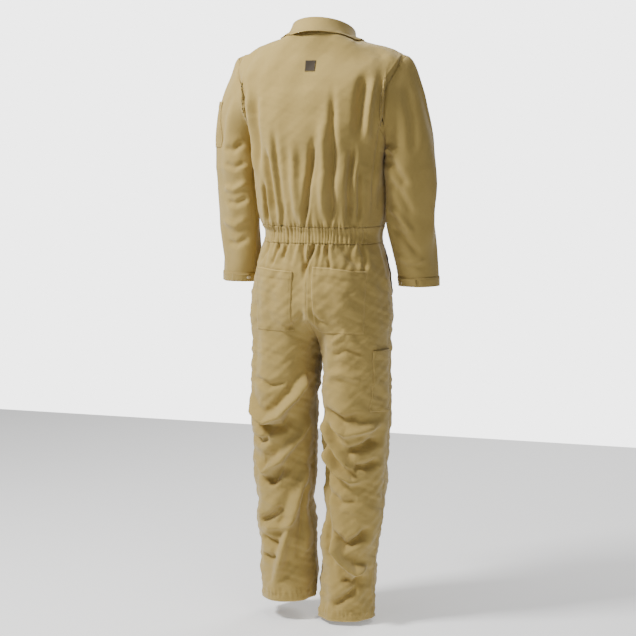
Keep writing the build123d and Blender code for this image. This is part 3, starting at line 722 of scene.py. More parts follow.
class Panel:
    """One cut piece of cloth as a fine grid with normals."""

    def __init__(self, name, coarse, outward, back=None, rows=3, columns=5):
        self.name = name
        self.grid = refined(coarse, rows, columns)
        self.normals = grid_normals(self.grid, outward)
        self.outward = outward
        self.back = back
        self.wear = np.zeros(self.grid.shape[:2])

    def lift(self, height):
        self.grid = self.grid + self.normals * height[..., None]

    def renormal(self):
        self.normals = grid_normals(self.grid, self.outward)


def pucker(distance, along, seed, strength=0.0006, pitch=0.011):
    """Small gathers that a row of stitches pulls into the cloth next to it."""
    phase = 2.2 * np.sin(along * 41 + seed) + 1.7 * np.sin(along * 97 + 2 * seed)
    wave = np.sin(2 * np.pi * along / pitch + phase)
    return strength * wave * np.exp(-(distance / 0.010) ** 2)


def seam_profile(distance, width=0.0095, height=0.0008):
    """A lapped seam: double cloth that stands a little proud up to its second row of stitches."""
    return height * (1 - smooth(distance, width - 0.0015, width + 0.0015)) - 0.0006 * np.exp(
        -((distance - width) / 0.0012) ** 2
    )


def joined(left, right):
    """Two half grids that meet in the middle, as one grid from the left edge to the right."""
    return np.concatenate([left, right[:, -2::-1]], axis=1)


def build_panels():
    hung = {name: HUNG[ids] for name, ids in INDEX.items()}
    jacket, band = slice(0, BAND_START + 1), slice(BAND_START, BAND_END + 1)
    lower = slice(BAND_END, None)
    bl, br, fl, fr = (hung[n] for n in ("back_left", "back_right", "front_left", "front_right"))
    sleeves = {
        side: np.concatenate(
            [hung[f"sleeve_back_{side}"][:, ::-1], hung[f"sleeve_front_{side}"][:, 1:]], axis=1
        )
        for side in ("left", "right")
    }
    return [
        Panel("back_panel", joined(bl[jacket], br[jacket]), -1, True),
        Panel("waistband_back", joined(bl[band], br[band]), -1, True, 7),
        Panel("front_panel_left", fl[jacket], 1, False),
        Panel("front_panel_right", fr[jacket], -1, False),
        Panel("waistband_front_left", fl[band], 1, False, 7),
        Panel("waistband_front_right", fr[band], -1, False, 7),
        Panel("trouser_back_left", bl[lower], -1, True),
        Panel("trouser_back_right", br[lower], 1, True),
        Panel("trouser_front_left", fl[lower], 1, False),
        Panel("trouser_front_right", fr[lower], -1, False),
        Panel("sleeve_left", sleeves["left"], 1, rows=4, columns=3),
        Panel("sleeve_right", sleeves["right"], -1, rows=4, columns=3),
    ]


PANELS = {panel.name: panel for panel in build_panels()}


# ---------------------------------------------------------------- materials
def node(tree, kind, **values):
    made = tree.nodes.new(kind)
    for key, value in values.items():
        if hasattr(made, key):
            setattr(made, key, value)
        else:
            made.inputs[key.replace("_", " ")].default_value = value
    return made


def new_material(name):
    """A material with nodes, and its tree and shader."""
    material = bpy.data.materials.new(name)
    material.use_nodes = True
    return material, material.node_tree, material.node_tree.nodes["Principled BSDF"]


def woven(name, colour, roughness=0.85, variation=0.12, weave=0.0009, sheen=0.2, crumple=0.45):
    """A woven cloth: diagonal weave, uneven dye, fine creases, and paler worn edges."""
    material, tree, shader = new_material(name)
    shader.inputs["Sheen Weight"].default_value = sheen
    shader.inputs["Sheen Roughness"].default_value = 0.55
    shader.inputs["Specular IOR Level"].default_value = 0.25
    place = node(tree, "ShaderNodeTexCoord")
    big = node(tree, "ShaderNodeTexNoise", Scale=7.0, Detail=3.0)
    small = node(tree, "ShaderNodeTexNoise", Scale=260.0, Detail=2.0)
    crease = node(tree, "ShaderNodeTexNoise", Scale=38.0, Detail=4.0, Roughness=0.6)
    turn = node(tree, "ShaderNodeMapping")
    turn.inputs["Rotation"].default_value = (0, 0, math.radians(58))
    twill = node(tree, "ShaderNodeTexWave", Scale=2 * math.pi / (20 * weave), Distortion=0.4)
    for noise in (big, small, crease):
        tree.links.new(place.outputs["Object"], noise.inputs["Vector"])
    tree.links.new(place.outputs["UV"], turn.inputs["Vector"])
    tree.links.new(turn.outputs["Vector"], twill.inputs["Vector"])
    dark = tuple(c * (1 - variation) for c in colour)
    light = tuple(min(1, c * (1 + variation * 0.7)) for c in colour)
    dye = node(tree, "ShaderNodeMix", data_type="RGBA")
    dye.inputs["A"].default_value = (*dark, 1)
    dye.inputs["B"].default_value = (*light, 1)
    blend_two = node(tree, "ShaderNodeMath", operation="MULTIPLY_ADD")
    blend_two.inputs[1].default_value = 0.35
    tree.links.new(small.outputs["Fac"], blend_two.inputs[0])
    half = node(tree, "ShaderNodeMath", operation="MULTIPLY")
    half.inputs[1].default_value = 0.65
    tree.links.new(big.outputs["Fac"], half.inputs[0])
    tree.links.new(half.outputs[0], blend_two.inputs[2])
    tree.links.new(blend_two.outputs[0], dye.inputs["Factor"])
    line = node(tree, "ShaderNodeMix", data_type="RGBA", blend_type="MULTIPLY")
    line.inputs["Factor"].default_value = 0.10
    tree.links.new(dye.outputs["Result"], line.inputs["A"])
    tree.links.new(twill.outputs["Color"], line.inputs["B"])
    worn = node(tree, "ShaderNodeMix", data_type="RGBA")
    worn.inputs["B"].default_value = (*(min(1, c * 1.28 + 0.02) for c in colour), 1)
    wear = node(tree, "ShaderNodeAttribute", attribute_name="wear")
    tree.links.new(wear.outputs["Fac"], worn.inputs["Factor"])
    tree.links.new(line.outputs["Result"], worn.inputs["A"])
    tree.links.new(worn.outputs["Result"], shader.inputs["Base Color"])
    rough = node(tree, "ShaderNodeMapRange")
    rough.inputs["To Min"].default_value = roughness - 0.07
    rough.inputs["To Max"].default_value = min(1.0, roughness + 0.08)
    tree.links.new(small.outputs["Fac"], rough.inputs["Value"])
    tree.links.new(rough.outputs["Result"], shader.inputs["Roughness"])
    weave_bump = node(tree, "ShaderNodeBump", Strength=0.35, Distance=0.00025)
    tree.links.new(twill.outputs["Fac"], weave_bump.inputs["Height"])
    crease_bump = node(tree, "ShaderNodeBump", Strength=crumple, Distance=0.0022)
    tree.links.new(crease.outputs["Fac"], crease_bump.inputs["Height"])
    tree.links.new(weave_bump.outputs["Normal"], crease_bump.inputs["Normal"])
    tree.links.new(crease_bump.outputs["Normal"], shader.inputs["Normal"])
    return material


def metal(name, colour, roughness, worn_colour):
    """Stamped metal with fine scratches and rubbed patches."""
    material, tree, shader = new_material(name)
    shader.inputs["Metallic"].default_value = 1.0
    place = node(tree, "ShaderNodeTexCoord")
    rubbed = node(tree, "ShaderNodeTexNoise", Scale=420.0, Detail=4.0)
    scratch = node(tree, "ShaderNodeTexNoise", Scale=1900.0, Detail=2.0)
    for noise in (rubbed, scratch):
        tree.links.new(place.outputs["Object"], noise.inputs["Vector"])
    mix = node(tree, "ShaderNodeMix", data_type="RGBA")
    mix.inputs["A"].default_value = (*colour, 1)
    mix.inputs["B"].default_value = (*worn_colour, 1)
    tree.links.new(rubbed.outputs["Fac"], mix.inputs["Factor"])
    tree.links.new(mix.outputs["Result"], shader.inputs["Base Color"])
    rough = node(tree, "ShaderNodeMapRange")
    rough.inputs["To Min"].default_value = roughness - 0.1
    rough.inputs["To Max"].default_value = roughness + 0.15
    tree.links.new(scratch.outputs["Fac"], rough.inputs["Value"])
    tree.links.new(rough.outputs["Result"], shader.inputs["Roughness"])
    bump = node(tree, "ShaderNodeBump", Strength=0.2, Distance=0.0001)
    tree.links.new(scratch.outputs["Fac"], bump.inputs["Height"])
    tree.links.new(bump.outputs["Normal"], shader.inputs["Normal"])
    return material


MATERIALS = {
    "twill": woven("khaki_twill", (0.400, 0.285, 0.082)),
    "twill_facing": woven("khaki_facing", (0.370, 0.262, 0.075), crumple=0.12),
    "thread": woven("khaki_thread", (0.350, 0.245, 0.068), 0.7, 0.10, 0.0006, 0.1, 0.0),
    "pocketing": woven("pocketing", (0.62, 0.55, 0.38), 0.9, 0.06, 0.0007),
    "elastic": woven("elastic", (0.62, 0.60, 0.54), 0.8, 0.05, 0.0018, 0.1, 0.1),
    "zip_tape": woven("zip_tape", (0.36, 0.27, 0.11), 0.8, 0.08, 0.0008, 0.1, 0.0),
    "badge_weave": woven("badge_weave", (0.045, 0.032, 0.018), 0.75, 0.15, 0.0007, 0.1, 0.05),
    "label_tape": woven("label_tape", (0.78, 0.77, 0.73), 0.6, 0.03, 0.0006, 0.1, 0.05),
    "zip_brass": metal("zip_brass", (0.62, 0.42, 0.16), 0.38, (0.75, 0.56, 0.27)),
    "snap_metal": metal("snap_metal", (0.55, 0.47, 0.31), 0.35, (0.72, 0.66, 0.50)),
}


def cloth_finish(obj, kind="twill"):
    obj.data.materials.clear()
    obj.data.materials.append(MATERIALS[kind])


# ---------------------------------------------------------------- sewing the panels
PAIRS = [                  # edges that are sewn together: panel, edge, panel, edge
    ("back_panel", "bottom", "waistband_back", "top"),
    ("front_panel_left", "bottom", "waistband_front_left", "top"),
    ("front_panel_right", "bottom", "waistband_front_right", "top"),
    ("waistband_front_left", "bottom", "trouser_front_left", "top"),
    ("waistband_front_right", "bottom", "trouser_front_right", "top"),
    ("trouser_back_left", "first", "trouser_front_left", "first"),
    ("trouser_back_right", "first", "trouser_front_right", "first"),
    ("waistband_back", "first", "waistband_front_left", "first"),
    ("waistband_back", "last", "waistband_front_right", "first"),
]
REACH = 8                  # rows or columns over which a panel gives way to its seam
ZIP_OPEN = 0.008           # front edges further apart than this belong to the zip


def edge_slice(edge):
    return {
        "first": (slice(None), 0), "last": (slice(None), -1),
        "top": (0, slice(None)), "bottom": (-1, slice(None)),
    }[edge]


def give_way(grid, edge, shift):
    """Moves an edge by shift and eases the cloth behind it."""
    for k in range(REACH):
        ease = 1 - smooth(k, 0, REACH)
        if edge == "first":
            grid[:, k] += shift * ease
        elif edge == "last":
            grid[:, -1 - k] += shift * ease
        elif edge == "top":
            grid[k] += shift * ease
        else:
            grid[-1 - k] += shift * ease


def sew(panels):
    """Brings the two edges of each seam together again after the folds are in."""
    for one, edge_one, two, edge_two in PAIRS:
        a, b = panels[one].grid, panels[two].grid
        pa, pb = a[edge_slice(edge_one)].copy(), b[edge_slice(edge_two)].copy()
        give_way(a, edge_one, (pb - pa) / 2)
        give_way(b, edge_two, (pa - pb) / 2)
    band = panels["waistband_back"].grid
    half = (band.shape[1] + 1) // 2
    for side, part in (("left", slice(0, half)), ("right", slice(None, half - 2, -1))):
        seat = panels[f"trouser_back_{side}"].grid
        give_way(seat, "top", band[-1, part] - seat[0])
    for face in ("back", "front"):
        a, b = (panels[f"trouser_{face}_{side}"].grid for side, _ in SIDES)
        upper_a, upper_b = a[:CROTCH_LINE, -1], b[:CROTCH_LINE, -1]
        shift = np.zeros((a.shape[0], 3))
        shift[:CROTCH_LINE] = (upper_b - upper_a) / 2
        if face == "front":                 # the zip keeps this edge open
            shift[:CROTCH_LINE][np.abs(upper_a[:, 0] - upper_b[:, 0]) > ZIP_OPEN] = 0
        give_way(a, "last", shift)
        give_way(b, "last", -shift)
    for side, _ in SIDES:
        a, b = panels[f"trouser_back_{side}"].grid, panels[f"trouser_front_{side}"].grid
        shift = np.zeros((a.shape[0], 3))
        shift[CROTCH_LINE:] = (b[CROTCH_LINE:, -1] - a[CROTCH_LINE:, -1]) / 2
        give_way(a, "last", shift)
        give_way(b, "last", -shift)


def shape_cloth(panels):
    """Adds the folds, gathers, lapped seams and stitched-down edges to the draped cloth."""
    for name, panel in panels.items():
        if name.startswith("sleeve"):
            x, z = panel.grid[..., 0], panel.grid[..., 2]
            height = sum(fold(x, z, line, w, h) for line, w, h in SLEEVE_FOLDS)
            panel.lift(height * smooth(panel.normals[..., 1], 0.0, 0.5))
            front = sum(fold(-x, z, line, w, h * 0.8) for line, w, h in SLEEVE_FOLDS[:7])
            panel.lift(front * smooth(-panel.normals[..., 1], 0.0, 0.5))
        else:
            panel.lift(folds_on(panel.grid, panel.normals, panel.back))
            panel.lift(ruched(panel.grid, 0.150 if panel.back else 0.02))
        panel.renormal()
    sew(panels)
    for name, panel in panels.items():
        panel.renormal()
        first, last, top, bottom = edge_distance(panel.grid)
        along, across = lengths(panel.grid, 0), lengths(panel.grid, 1)
        height = np.zeros(first.shape)
        if name == "back_panel" or name.startswith("trouser_back"):
            height += seam_profile(first) + pucker(first, along, 1.0)
            height += seam_profile(last) + pucker(last, along, 4.0)
        if name.startswith("front_panel"):
            height += pucker(first, along, 2.0) + seam_profile(last, 0.006)
        if name.startswith("sleeve"):
            height += seam_profile(first) + pucker(first, along, 3.0)
            height += pucker(top, across, 6.0, 0.0009)
            height += 0.0008 * (1 - smooth(bottom, 0.023, 0.025)) + pucker(bottom, across, 8.0)
        if name.startswith("waistband"):
            height += 0.0012 + pucker(top, across, 5.0, 0.0004)
        if name.startswith("trouser"):
            fold_up = 1 - smooth(bottom, 0.0235, 0.0255)
            height += 0.0010 * fold_up + pucker(bottom - 0.022, across, 7.0, 0.0011, 0.016)
            panel.wear = np.maximum(panel.wear, 1 - smooth(bottom, 0.0, 0.004))
        panel.lift(height)
        panel.renormal()


# ---------------------------------------------------------------- meshes in two plies
def closed_sheet(name, outer, inner, u, v, wear):
    """A closed sheet from an outer and an inner grid, with a map in metres and worn edges."""
    rows, columns = outer.shape[:2]
    count = rows * columns
    front = grid_faces(rows, columns, False)
    centre = outer.reshape(-1, 3)
    a, b, c = centre[front[:, 0]], centre[front[:, 1]], centre[front[:, 2]]
    outwards = np.einsum("ij,ij->i", np.cross(b - a, c - a), (centre - inner.reshape(-1, 3))[front[:, 0]])
    if outwards.sum() < 0:
        front = front[:, ::-1]
    back = front[:, ::-1] + count
    ring = np.concatenate([
        np.arange(columns), np.arange(1, rows) * columns + columns - 1,
        (rows - 1) * columns + np.arange(columns - 2, -1, -1), np.arange(rows - 2, 0, -1) * columns,
    ])
    following = np.roll(ring, -1)
    rim = np.stack([ring, following, following + count, ring + count], axis=1)
    if outwards.sum() >= 0:
        rim = rim[:, ::-1]
    obj = new_object(name, np.concatenate([centre, inner.reshape(-1, 3)]), np.concatenate([front, back, rim]))
    mesh = obj.data
    coords = np.stack([np.tile(u.ravel(), 2), np.tile(v.ravel(), 2)], axis=1)
    loops = np.zeros(len(mesh.loops), int)
    mesh.loops.foreach_get("vertex_index", loops)
    mesh.uv_layers.new(name="cloth").data.foreach_set("uv", coords[loops].ravel().astype(np.float32))
    attribute = mesh.attributes.new("wear", "FLOAT", "POINT")
    attribute.data.foreach_set("value", np.tile(wear.ravel(), 2).astype(np.float32))
    return obj


def panel_object(panel):
    """The closed sheet of a panel."""
    u, v = lengths(panel.grid, 1), lengths(panel.grid, 0)
    u = u - u.mean(axis=1, keepdims=True)
    inner = panel.grid - panel.normals * CLOTH
    v = np.broadcast_to(v.mean(axis=1, keepdims=True), u.shape)
    obj = closed_sheet(panel.name, panel.grid, inner, u, v, panel.wear)
    cloth_finish(obj)
    return obj


# ---------------------------------------------------------------- stitches
STITCH, STITCH_GAP, THREAD = 0.0024, 0.0011, 0.00042
LAPPED = (0.0018, 0.0080)      # distances of the rows of stitches from an edge: a lapped seam,
BANDED = (0.003, 0.009)        # the edges of the waistband,
BY_ZIP = (0.004, 0.011)        # the edge beside the zip,
MOUTH = (0.004, 0.022)         # the mouth of a patch pocket,
HEM = (0.0225,)                # and the hem
ROWS_OF_STITCHES = {}


def stitch_row(body, points, normals):
    """Keeps a line of stitches, given by points on the cloth, to be made with its body's others."""
    ROWS_OF_STITCHES.setdefault(body, []).append((np.asarray(points), np.asarray(normals)))


def edge_line(panel, edge, distance, part=slice(None)):
    """Points and normals of the line that runs a distance inside an edge of a panel."""
    grid, normals = panel.grid[part], panel.normals[part]
    if edge in ("top", "bottom"):
        grid, normals = grid.transpose(1, 0, 2), normals.transpose(1, 0, 2)
    if edge in ("last", "bottom"):
        grid, normals = grid[:, ::-1], normals[:, ::-1]
    run = lengths(grid, 1)
    at = np.array([min(np.searchsorted(row, distance), len(row) - 1) for row in run])
    rows = np.arange(len(grid))
    step = run[rows, at] - run[rows, at - 1]
    t = np.clip((distance - run[rows, at - 1]) / np.maximum(step, 1e-9), 0, 1)[:, None]
    points = grid[rows, at - 1] * (1 - t) + grid[rows, at] * t
    return points, normals[rows, at]


def stitch_edges(body, piece, edges, distances, part=slice(None)):
    """Rows of stitches along some edges of a piece, at each of the distances from the edge."""
    for edge in edges:
        for distance in distances:
            stitch_row(body, *edge_line(piece, edge, distance, part))


def stitch_parts(points, normals):
    """Ring points of all stitches along a line: 3 rings of 4 points each, domed."""
    run = np.concatenate([[0], np.cumsum(np.linalg.norm(np.diff(points, axis=0), axis=1))])
    count = int(run[-1] // (STITCH + STITCH_GAP))
    if count < 1:
        return np.zeros((0, 12, 3))

    def at(s):
        p = np.stack([np.interp(s, run, points[:, k]) for k in range(3)], axis=1)
        n = np.stack([np.interp(s, run, normals[:, k]) for k in range(3)], axis=1)
        return p, n / np.maximum(np.linalg.norm(n, axis=1, keepdims=True), 1e-9)

    start = np.arange(count) * run[-1] / count
    rings = []
    for share, size, rise in ((0.0, 0.55, 0.0), (0.5, 1.0, 0.35), (1.0, 0.55, 0.0)):
        p, n = at(start + share * STITCH)
        ahead, _ = at(start + share * STITCH + 0.0003)
        tangent = ahead - p
        side = np.cross(n, tangent)
        side /= np.maximum(np.linalg.norm(side, axis=1, keepdims=True), 1e-12)
        middle = p + n * THREAD * rise
        r = THREAD * size
        for a in range(4):
            angle = math.pi / 4 + a * math.pi / 2
            rings.append(middle + side * r * math.cos(angle) + n * r * math.sin(angle))
    return np.stack(rings, axis=1)


def stitches_object(body, rows):
    parts = np.concatenate([stitch_parts(p, n) for p, n in rows])
    quads = [[0, 1, 2, 3], [11, 10, 9, 8]]
    for ring in (0, 4):
        for a in range(4):
            b = (a + 1) % 4
            quads.append([ring + b, ring + a, ring + 4 + a, ring + 4 + b])
    faces = (np.arange(len(parts))[:, None, None] * 12 + np.array(quads)[None]).reshape(-1, 4)
    obj = new_object(f"stitches_{body}", parts.reshape(-1, 3), faces)
    obj.data.materials.append(MATERIALS["thread"])
    return obj


# ---------------------------------------------------------------- patches sewn on the cloth
FAR = 0.6                  # distance at which the rays that lay a patch start
POCKET_BASE = 0.0013       # height of a pocket's cloth over the panel under it


def surface_of(panels):
    """A tree of the outer cloth, to lay other pieces on."""
    points, faces, start = [], [], 0
    for panel in panels:
        rows, columns = panel.grid.shape[:2]
        points.append(panel.grid.reshape(-1, 3))
        faces.append(grid_faces(rows, columns, False) + start)
        start += rows * columns
    return BVHTree.FromPolygons(
        [tuple(p) for p in np.concatenate(points)],
        [tuple(int(i) for i in f) for f in np.concatenate(faces)],
    )


def laid_on(tree, starts, direction):
    """Where rays from a grid of start points meet the cloth, with smooth outward normals."""
    hit = np.zeros(starts.shape)
    direction = Vector(direction).normalized()
    for i in range(starts.shape[0]):
        for j in range(starts.shape[1]):
            found = tree.ray_cast(Vector(starts[i, j]), direction)[0]
            hit[i, j] = found if found is not None else hit[i, j - 1] if j else hit[i - 1, j]
    normals = np.cross(np.gradient(hit, axis=1), np.gradient(hit, axis=0))
    normals /= np.maximum(np.linalg.norm(normals, axis=2, keepdims=True), 1e-12)
    if (normals * np.array(direction)).sum() > 0:
        normals = -normals
    for _ in range(6):
        padded = np.pad(normals, ((1, 1), (1, 1), (0, 0)), mode="edge")
        normals = (padded[:-2, 1:-1] + padded[2:, 1:-1] + padded[1:-1, :-2] + padded[1:-1, 2:]) / 4
    return hit, normals / np.linalg.norm(normals, axis=2, keepdims=True)


class Sheet:
    """A piece of cloth as a grid with normals, a thickness and worn places."""

    def __init__(self, name, grid, normals, thickness=CLOTH):
        self.name, self.grid, self.normals, self.thickness = name, grid, normals, thickness
        self.wear = np.zeros(grid.shape[:2])

    def object(self, kind="twill"):
        inner = self.grid - self.normals * self.thickness
        u, v = lengths(self.grid, 1), lengths(self.grid, 0)
        obj = closed_sheet(self.name, self.grid, inner, u, v, self.wear)
        cloth_finish(obj, kind)
        return obj


class Patch(Sheet):
    """Cloth laid on the garment by rays from a grid of start points."""

    def __init__(self, name, tree, starts, direction, lift, thickness=CLOTH):
        hit, normals = laid_on(tree, starts, direction)
        super().__init__(name, hit + normals * lift[..., None], normals, thickness)


class Strip(Sheet):
    """Cloth given point by point, with normals turned away from a centre."""

    def __init__(self, name, grid, centre, thickness=CLOTH):
        normals = grid_normals(grid, 1)
        if ((grid - centre) * normals).sum() < 0:
            normals = -normals
        super().__init__(name, grid, normals, thickness)


def plane_grid(corners, rows, columns):
    """Grid between four corners: top left, top right, bottom right, bottom left."""
    a, b, c, d = (np.array(p, float) for p in corners)
    s, t = np.meshgrid(np.linspace(0, 1, columns), np.linspace(0, 1, rows))
    s, t = s[..., None], t[..., None]
    return (a * (1 - s) + b * s) * (1 - t) + (d * (1 - s) + c * s) * t


def upright(x0, x1, top, bottom, y, rows, columns):
    """Grid of an upright rectangle at depth y."""
    return plane_grid([(x0, y, top), (x1, y, top), (x1, y, bottom), (x0, y, bottom)], rows, columns)


def pocket_lift(rows, columns, puff, open_top=0.0022):
    """Height of a patch pocket: sewn down at three edges, a little slack in its mouth."""
    s, t = np.meshgrid(np.linspace(0, 1, columns), np.linspace(0, 1, rows))
    belly = np.sin(np.pi * s) ** 0.6 * (1 - t) ** 0.8
    slack = puff * belly * np.sin(np.pi * np.clip(t + 0.25, 0, 1))
    hem = 0.0011 * (1 - smooth(t, 0.12, 0.15))
    return POCKET_BASE + slack + open_top * belly * (1 - t) ** 6 + hem


# ---------------------------------------------------------------- collar
STAND_TOP = 0.020          # height of the collar stand along the neck's own axis
ROLL_TOP = 0.0245          # height of the fold where the leaf turns down
LEAF_AT_BACK, LEAF_AT_POINT = 0.043, 0.078
COLLAR_END = math.radians(174)


def on_neck(angle, height, grow):
    """Point on the neck cylinder; angle 0 is the nape and turns towards the wearer's left."""
    across = (NECK_X + grow) * np.sin(angle)
    back = (NECK_BACK + grow) * np.cos(angle)
    c, s = math.cos(NECK_TILT), math.sin(NECK_TILT)
    return np.stack(
        [across, NECK_Y + back * c - height * s, NECK_SIDE_Z + 0.001 + back * s + height * c], axis=-1
    )


def cleared(grid, tree, room):
    """Pushes points out until they clear the cloth under them."""
    out = grid.copy()
    for i in range(grid.shape[0]):
        for j in range(grid.shape[1]):
            place, normal, _, _ = tree.find_nearest(Vector(grid[i, j]))
            normal = np.array(normal)
            if normal @ (np.array(place) - np.array([0, 0, -0.30])) < 0:
                normal = -normal
            gap = (grid[i, j] - np.array(place)) @ normal
            if gap < room:
                out[i, j] = np.array(place) + normal * room
    return out


def build_collar(tree):
    angles = np.linspace(-COLLAR_END, COLLAR_END, 181)
    heights = np.linspace(-0.004, STAND_TOP, 10)
    centre = np.array([0, NECK_Y, 0.0])
    stand = Strip(
        "collar_stand", np.stack([on_neck(angles, h, 0.0006) for h in heights]), centre
    )
    turn = np.abs(angles) / COLLAR_END
    drop = LEAF_AT_BACK + (LEAF_AT_POINT - LEAF_AT_BACK) * smooth(turn, 0.25, 1.0)
    drop = drop + 0.0015 * np.sin(angles * 3.1 + 0.6)
    rows = []
    for t in np.linspace(0, 1, 26):
        if t < 0.16:
            k = t / 0.16 * math.pi
            height, grow = ROLL_TOP - 0.0022 + 0.0024 * math.sin(k), 0.0018 - 0.0022 * math.cos(k)
            rows.append(on_neck(angles, height, grow))
        else:
            k = (t - 0.16) / 0.84
            grow = 0.0040 + (0.013 + 0.012 * smooth(turn, 0.2, 0.6)) * k ** 1.4
            wave = 0.0011 * np.sin(angles * 5 + 1.2) * k
            rows.append(on_neck(angles, ROLL_TOP - 0.0022 - drop * k, grow + wave))
    grid = np.stack(rows)
    spread = smooth(turn, 0.86, 1.0)
    k = np.linspace(0, 1, len(rows))[:, None]
    grid[..., 0] += np.sign(angles) * spread * 0.030 * k ** 1.2
    fall = slice(8, None)
    grid[fall] = cleared(grid[fall], tree, 0.0030)
    leaf = Strip("collar_leaf", grid, centre)
    edge = edge_distance(grid)[3]
    leaf.wear = (1 - smooth(edge, 0, 0.0025)) * 0.7
    leaf.grid = leaf.grid + leaf.normals * (0.0006 * (1 - smooth(edge, 0.006, 0.008)))[..., None]
    stitch_edges("trunk", leaf, ("bottom",), (0.006,))
    stitch_edges("trunk", leaf, ("first", "last"), (0.006,), fall)
    add_sheet(stand, "trunk")
    add_sheet(leaf, "trunk")


def add_sheet(sheet, body, kind="twill"):
    """Makes a sheet that rides on a body and stands for the CAD node of its own name."""
    obj = sheet.object(kind)
    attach(obj, body)
    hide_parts(sheet.name)


# ---------------------------------------------------------------- pockets, badge and snaps
def snap_cap(name, place, normal, radius, body):
    """A domed snap cap with a rolled rim."""
    profile = [(0.0, 0.0016), (0.35, 0.00155), (0.62, 0.0013), (0.74, 0.0008), (0.80, 0.00075),
               (0.88, 0.0013), (0.96, 0.0012), (1.0, 0.0006), (0.98, 0.0)]
    normal = Vector(normal).normalized()
    across = normal.orthogonal().normalized()
    other = normal.cross(across)
    count = 40
    points = [Vector(place) + normal * profile[0][1]]
    for share, height in profile[1:]:
        for k in range(count):
            a = 2 * math.pi * k / count
            arm = across * math.cos(a) + other * math.sin(a)
            points.append(Vector(place) + arm * radius * share + normal * height)
    faces = [(0, 1 + k, 1 + (k + 1) % count) for k in range(count)]
    for ring in range(len(profile) - 2):
        for k in range(count):
            a, b = 1 + ring * count + k, 1 + ring * count + (k + 1) % count
            faces.append((a, a + count, b + count, b))
    last = 1 + (len(profile) - 2) * count
    faces.append(tuple(last + k for k in range(count - 1, -1, -1)))
    obj = new_object(name, points, faces)
    obj.data.materials.append(MATERIALS["snap_metal"])
    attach(obj, body)
    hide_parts(name)


def box_middle(node_name):
    low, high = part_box(node_name)
    return np.array([(a + b) / 2 for a, b in zip(low, high)])


SEAT_POCKETS = {           # corners in x and z: top inner, top outer, bottom outer, bottom inner
    "left": [(0.040, -0.640), (0.158, -0.634), (0.150, -0.800), (0.046, -0.800)],
    "right": [(-0.014, -0.626), (-0.150, -0.640), (-0.146, -0.802), (-0.020, -0.800)],
}
def sewn_patch(name, tree, starts, direction, lift, body, kind="twill", edges=("first", "last", "bottom")):
    """A pocket or badge: laid on the cloth and stitched round, its CAD node hidden."""
    patch = Patch(name, tree, starts, direction, lift)
    patch.wear = (1 - smooth(np.minimum.reduce(edge_distance(patch.grid)), 0, 0.0018)) * 0.8
    stitch_edges(body, patch, edges, LAPPED if kind == "twill" else (0.0012,))
    obj = patch.object(kind)
    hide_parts(name)
    return obj, patch


def build_back_pockets(tree):
    rows, columns = 54, 46
    for side, corners in SEAT_POCKETS.items():
        starts = plane_grid([(x, FAR, z) for x, z in corners], rows, columns)
        noise = wave_noise(starts.reshape(-1, 3), (0.05, 1, 0.035), 11).reshape(rows, columns)
        loose = np.sin(np.pi * np.linspace(0, 1, columns))[None] ** 0.7
        lift = np.maximum(pocket_lift(rows, columns, 0.0028) + 0.0016 * noise * loose, CLOTH)
        obj, patch = sewn_patch(f"seat_pocket_{side}", tree, starts, (0, -1, 0), lift, f"leg_{side}")
        stitch_edges(f"leg_{side}", patch, ("top",), MOUTH)
        blend_leg(obj)


def build_rule_pocket(tree):
    rows, columns = 60, 26
    corners = ((0.082, -0.848), (0.004, -0.852), (0.006, -1.018), (0.082, -1.012))    # y and z
    starts = plane_grid([(-FAR, y, z) for y, z in corners], rows, columns)
    lift = pocket_lift(rows, columns, 0.0026)
    obj, patch = sewn_patch("rule_pocket", tree, starts, (1, 0, 0), lift, "leg_right")
    stitch_edges("leg_right", patch, ("top",), MOUTH)
    blend_leg(obj)


def build_pen_pocket(tree):
    rows, columns = 40, 26
    corners = ((0.036, -0.196), (-0.030, -0.196), (-0.030, -0.318), (0.036, -0.318))  # y and z
    starts = plane_grid([(FAR, y, z) for y, z in corners], rows, columns)
    lift = pocket_lift(rows, columns, 0.0016)
    obj, _ = sewn_patch("pen_pocket", tree, starts, (-1, 0, 0), lift, "sleeve_left")
    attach(obj, "sleeve_left")


def build_badge(tree):
    starts = upright(0.014, -0.014, -0.090, -0.118, FAR, 16, 16)
    obj, _ = sewn_patch(
        "back_badge", tree, starts, (0, -1, 0), np.full((16, 16), 0.0016), "trunk_badge", "badge_weave",
        ("first", "last", "bottom", "top"),
    )
    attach(obj, "trunk")


def across(node_name, sign):
    """The x of a node's inner and outer edge, and its lowest and highest z."""
    low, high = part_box(node_name)
    inner, outer = (low[0], high[0]) if sign > 0 else (high[0], low[0])
    return inner, outer, low[2], high[2]


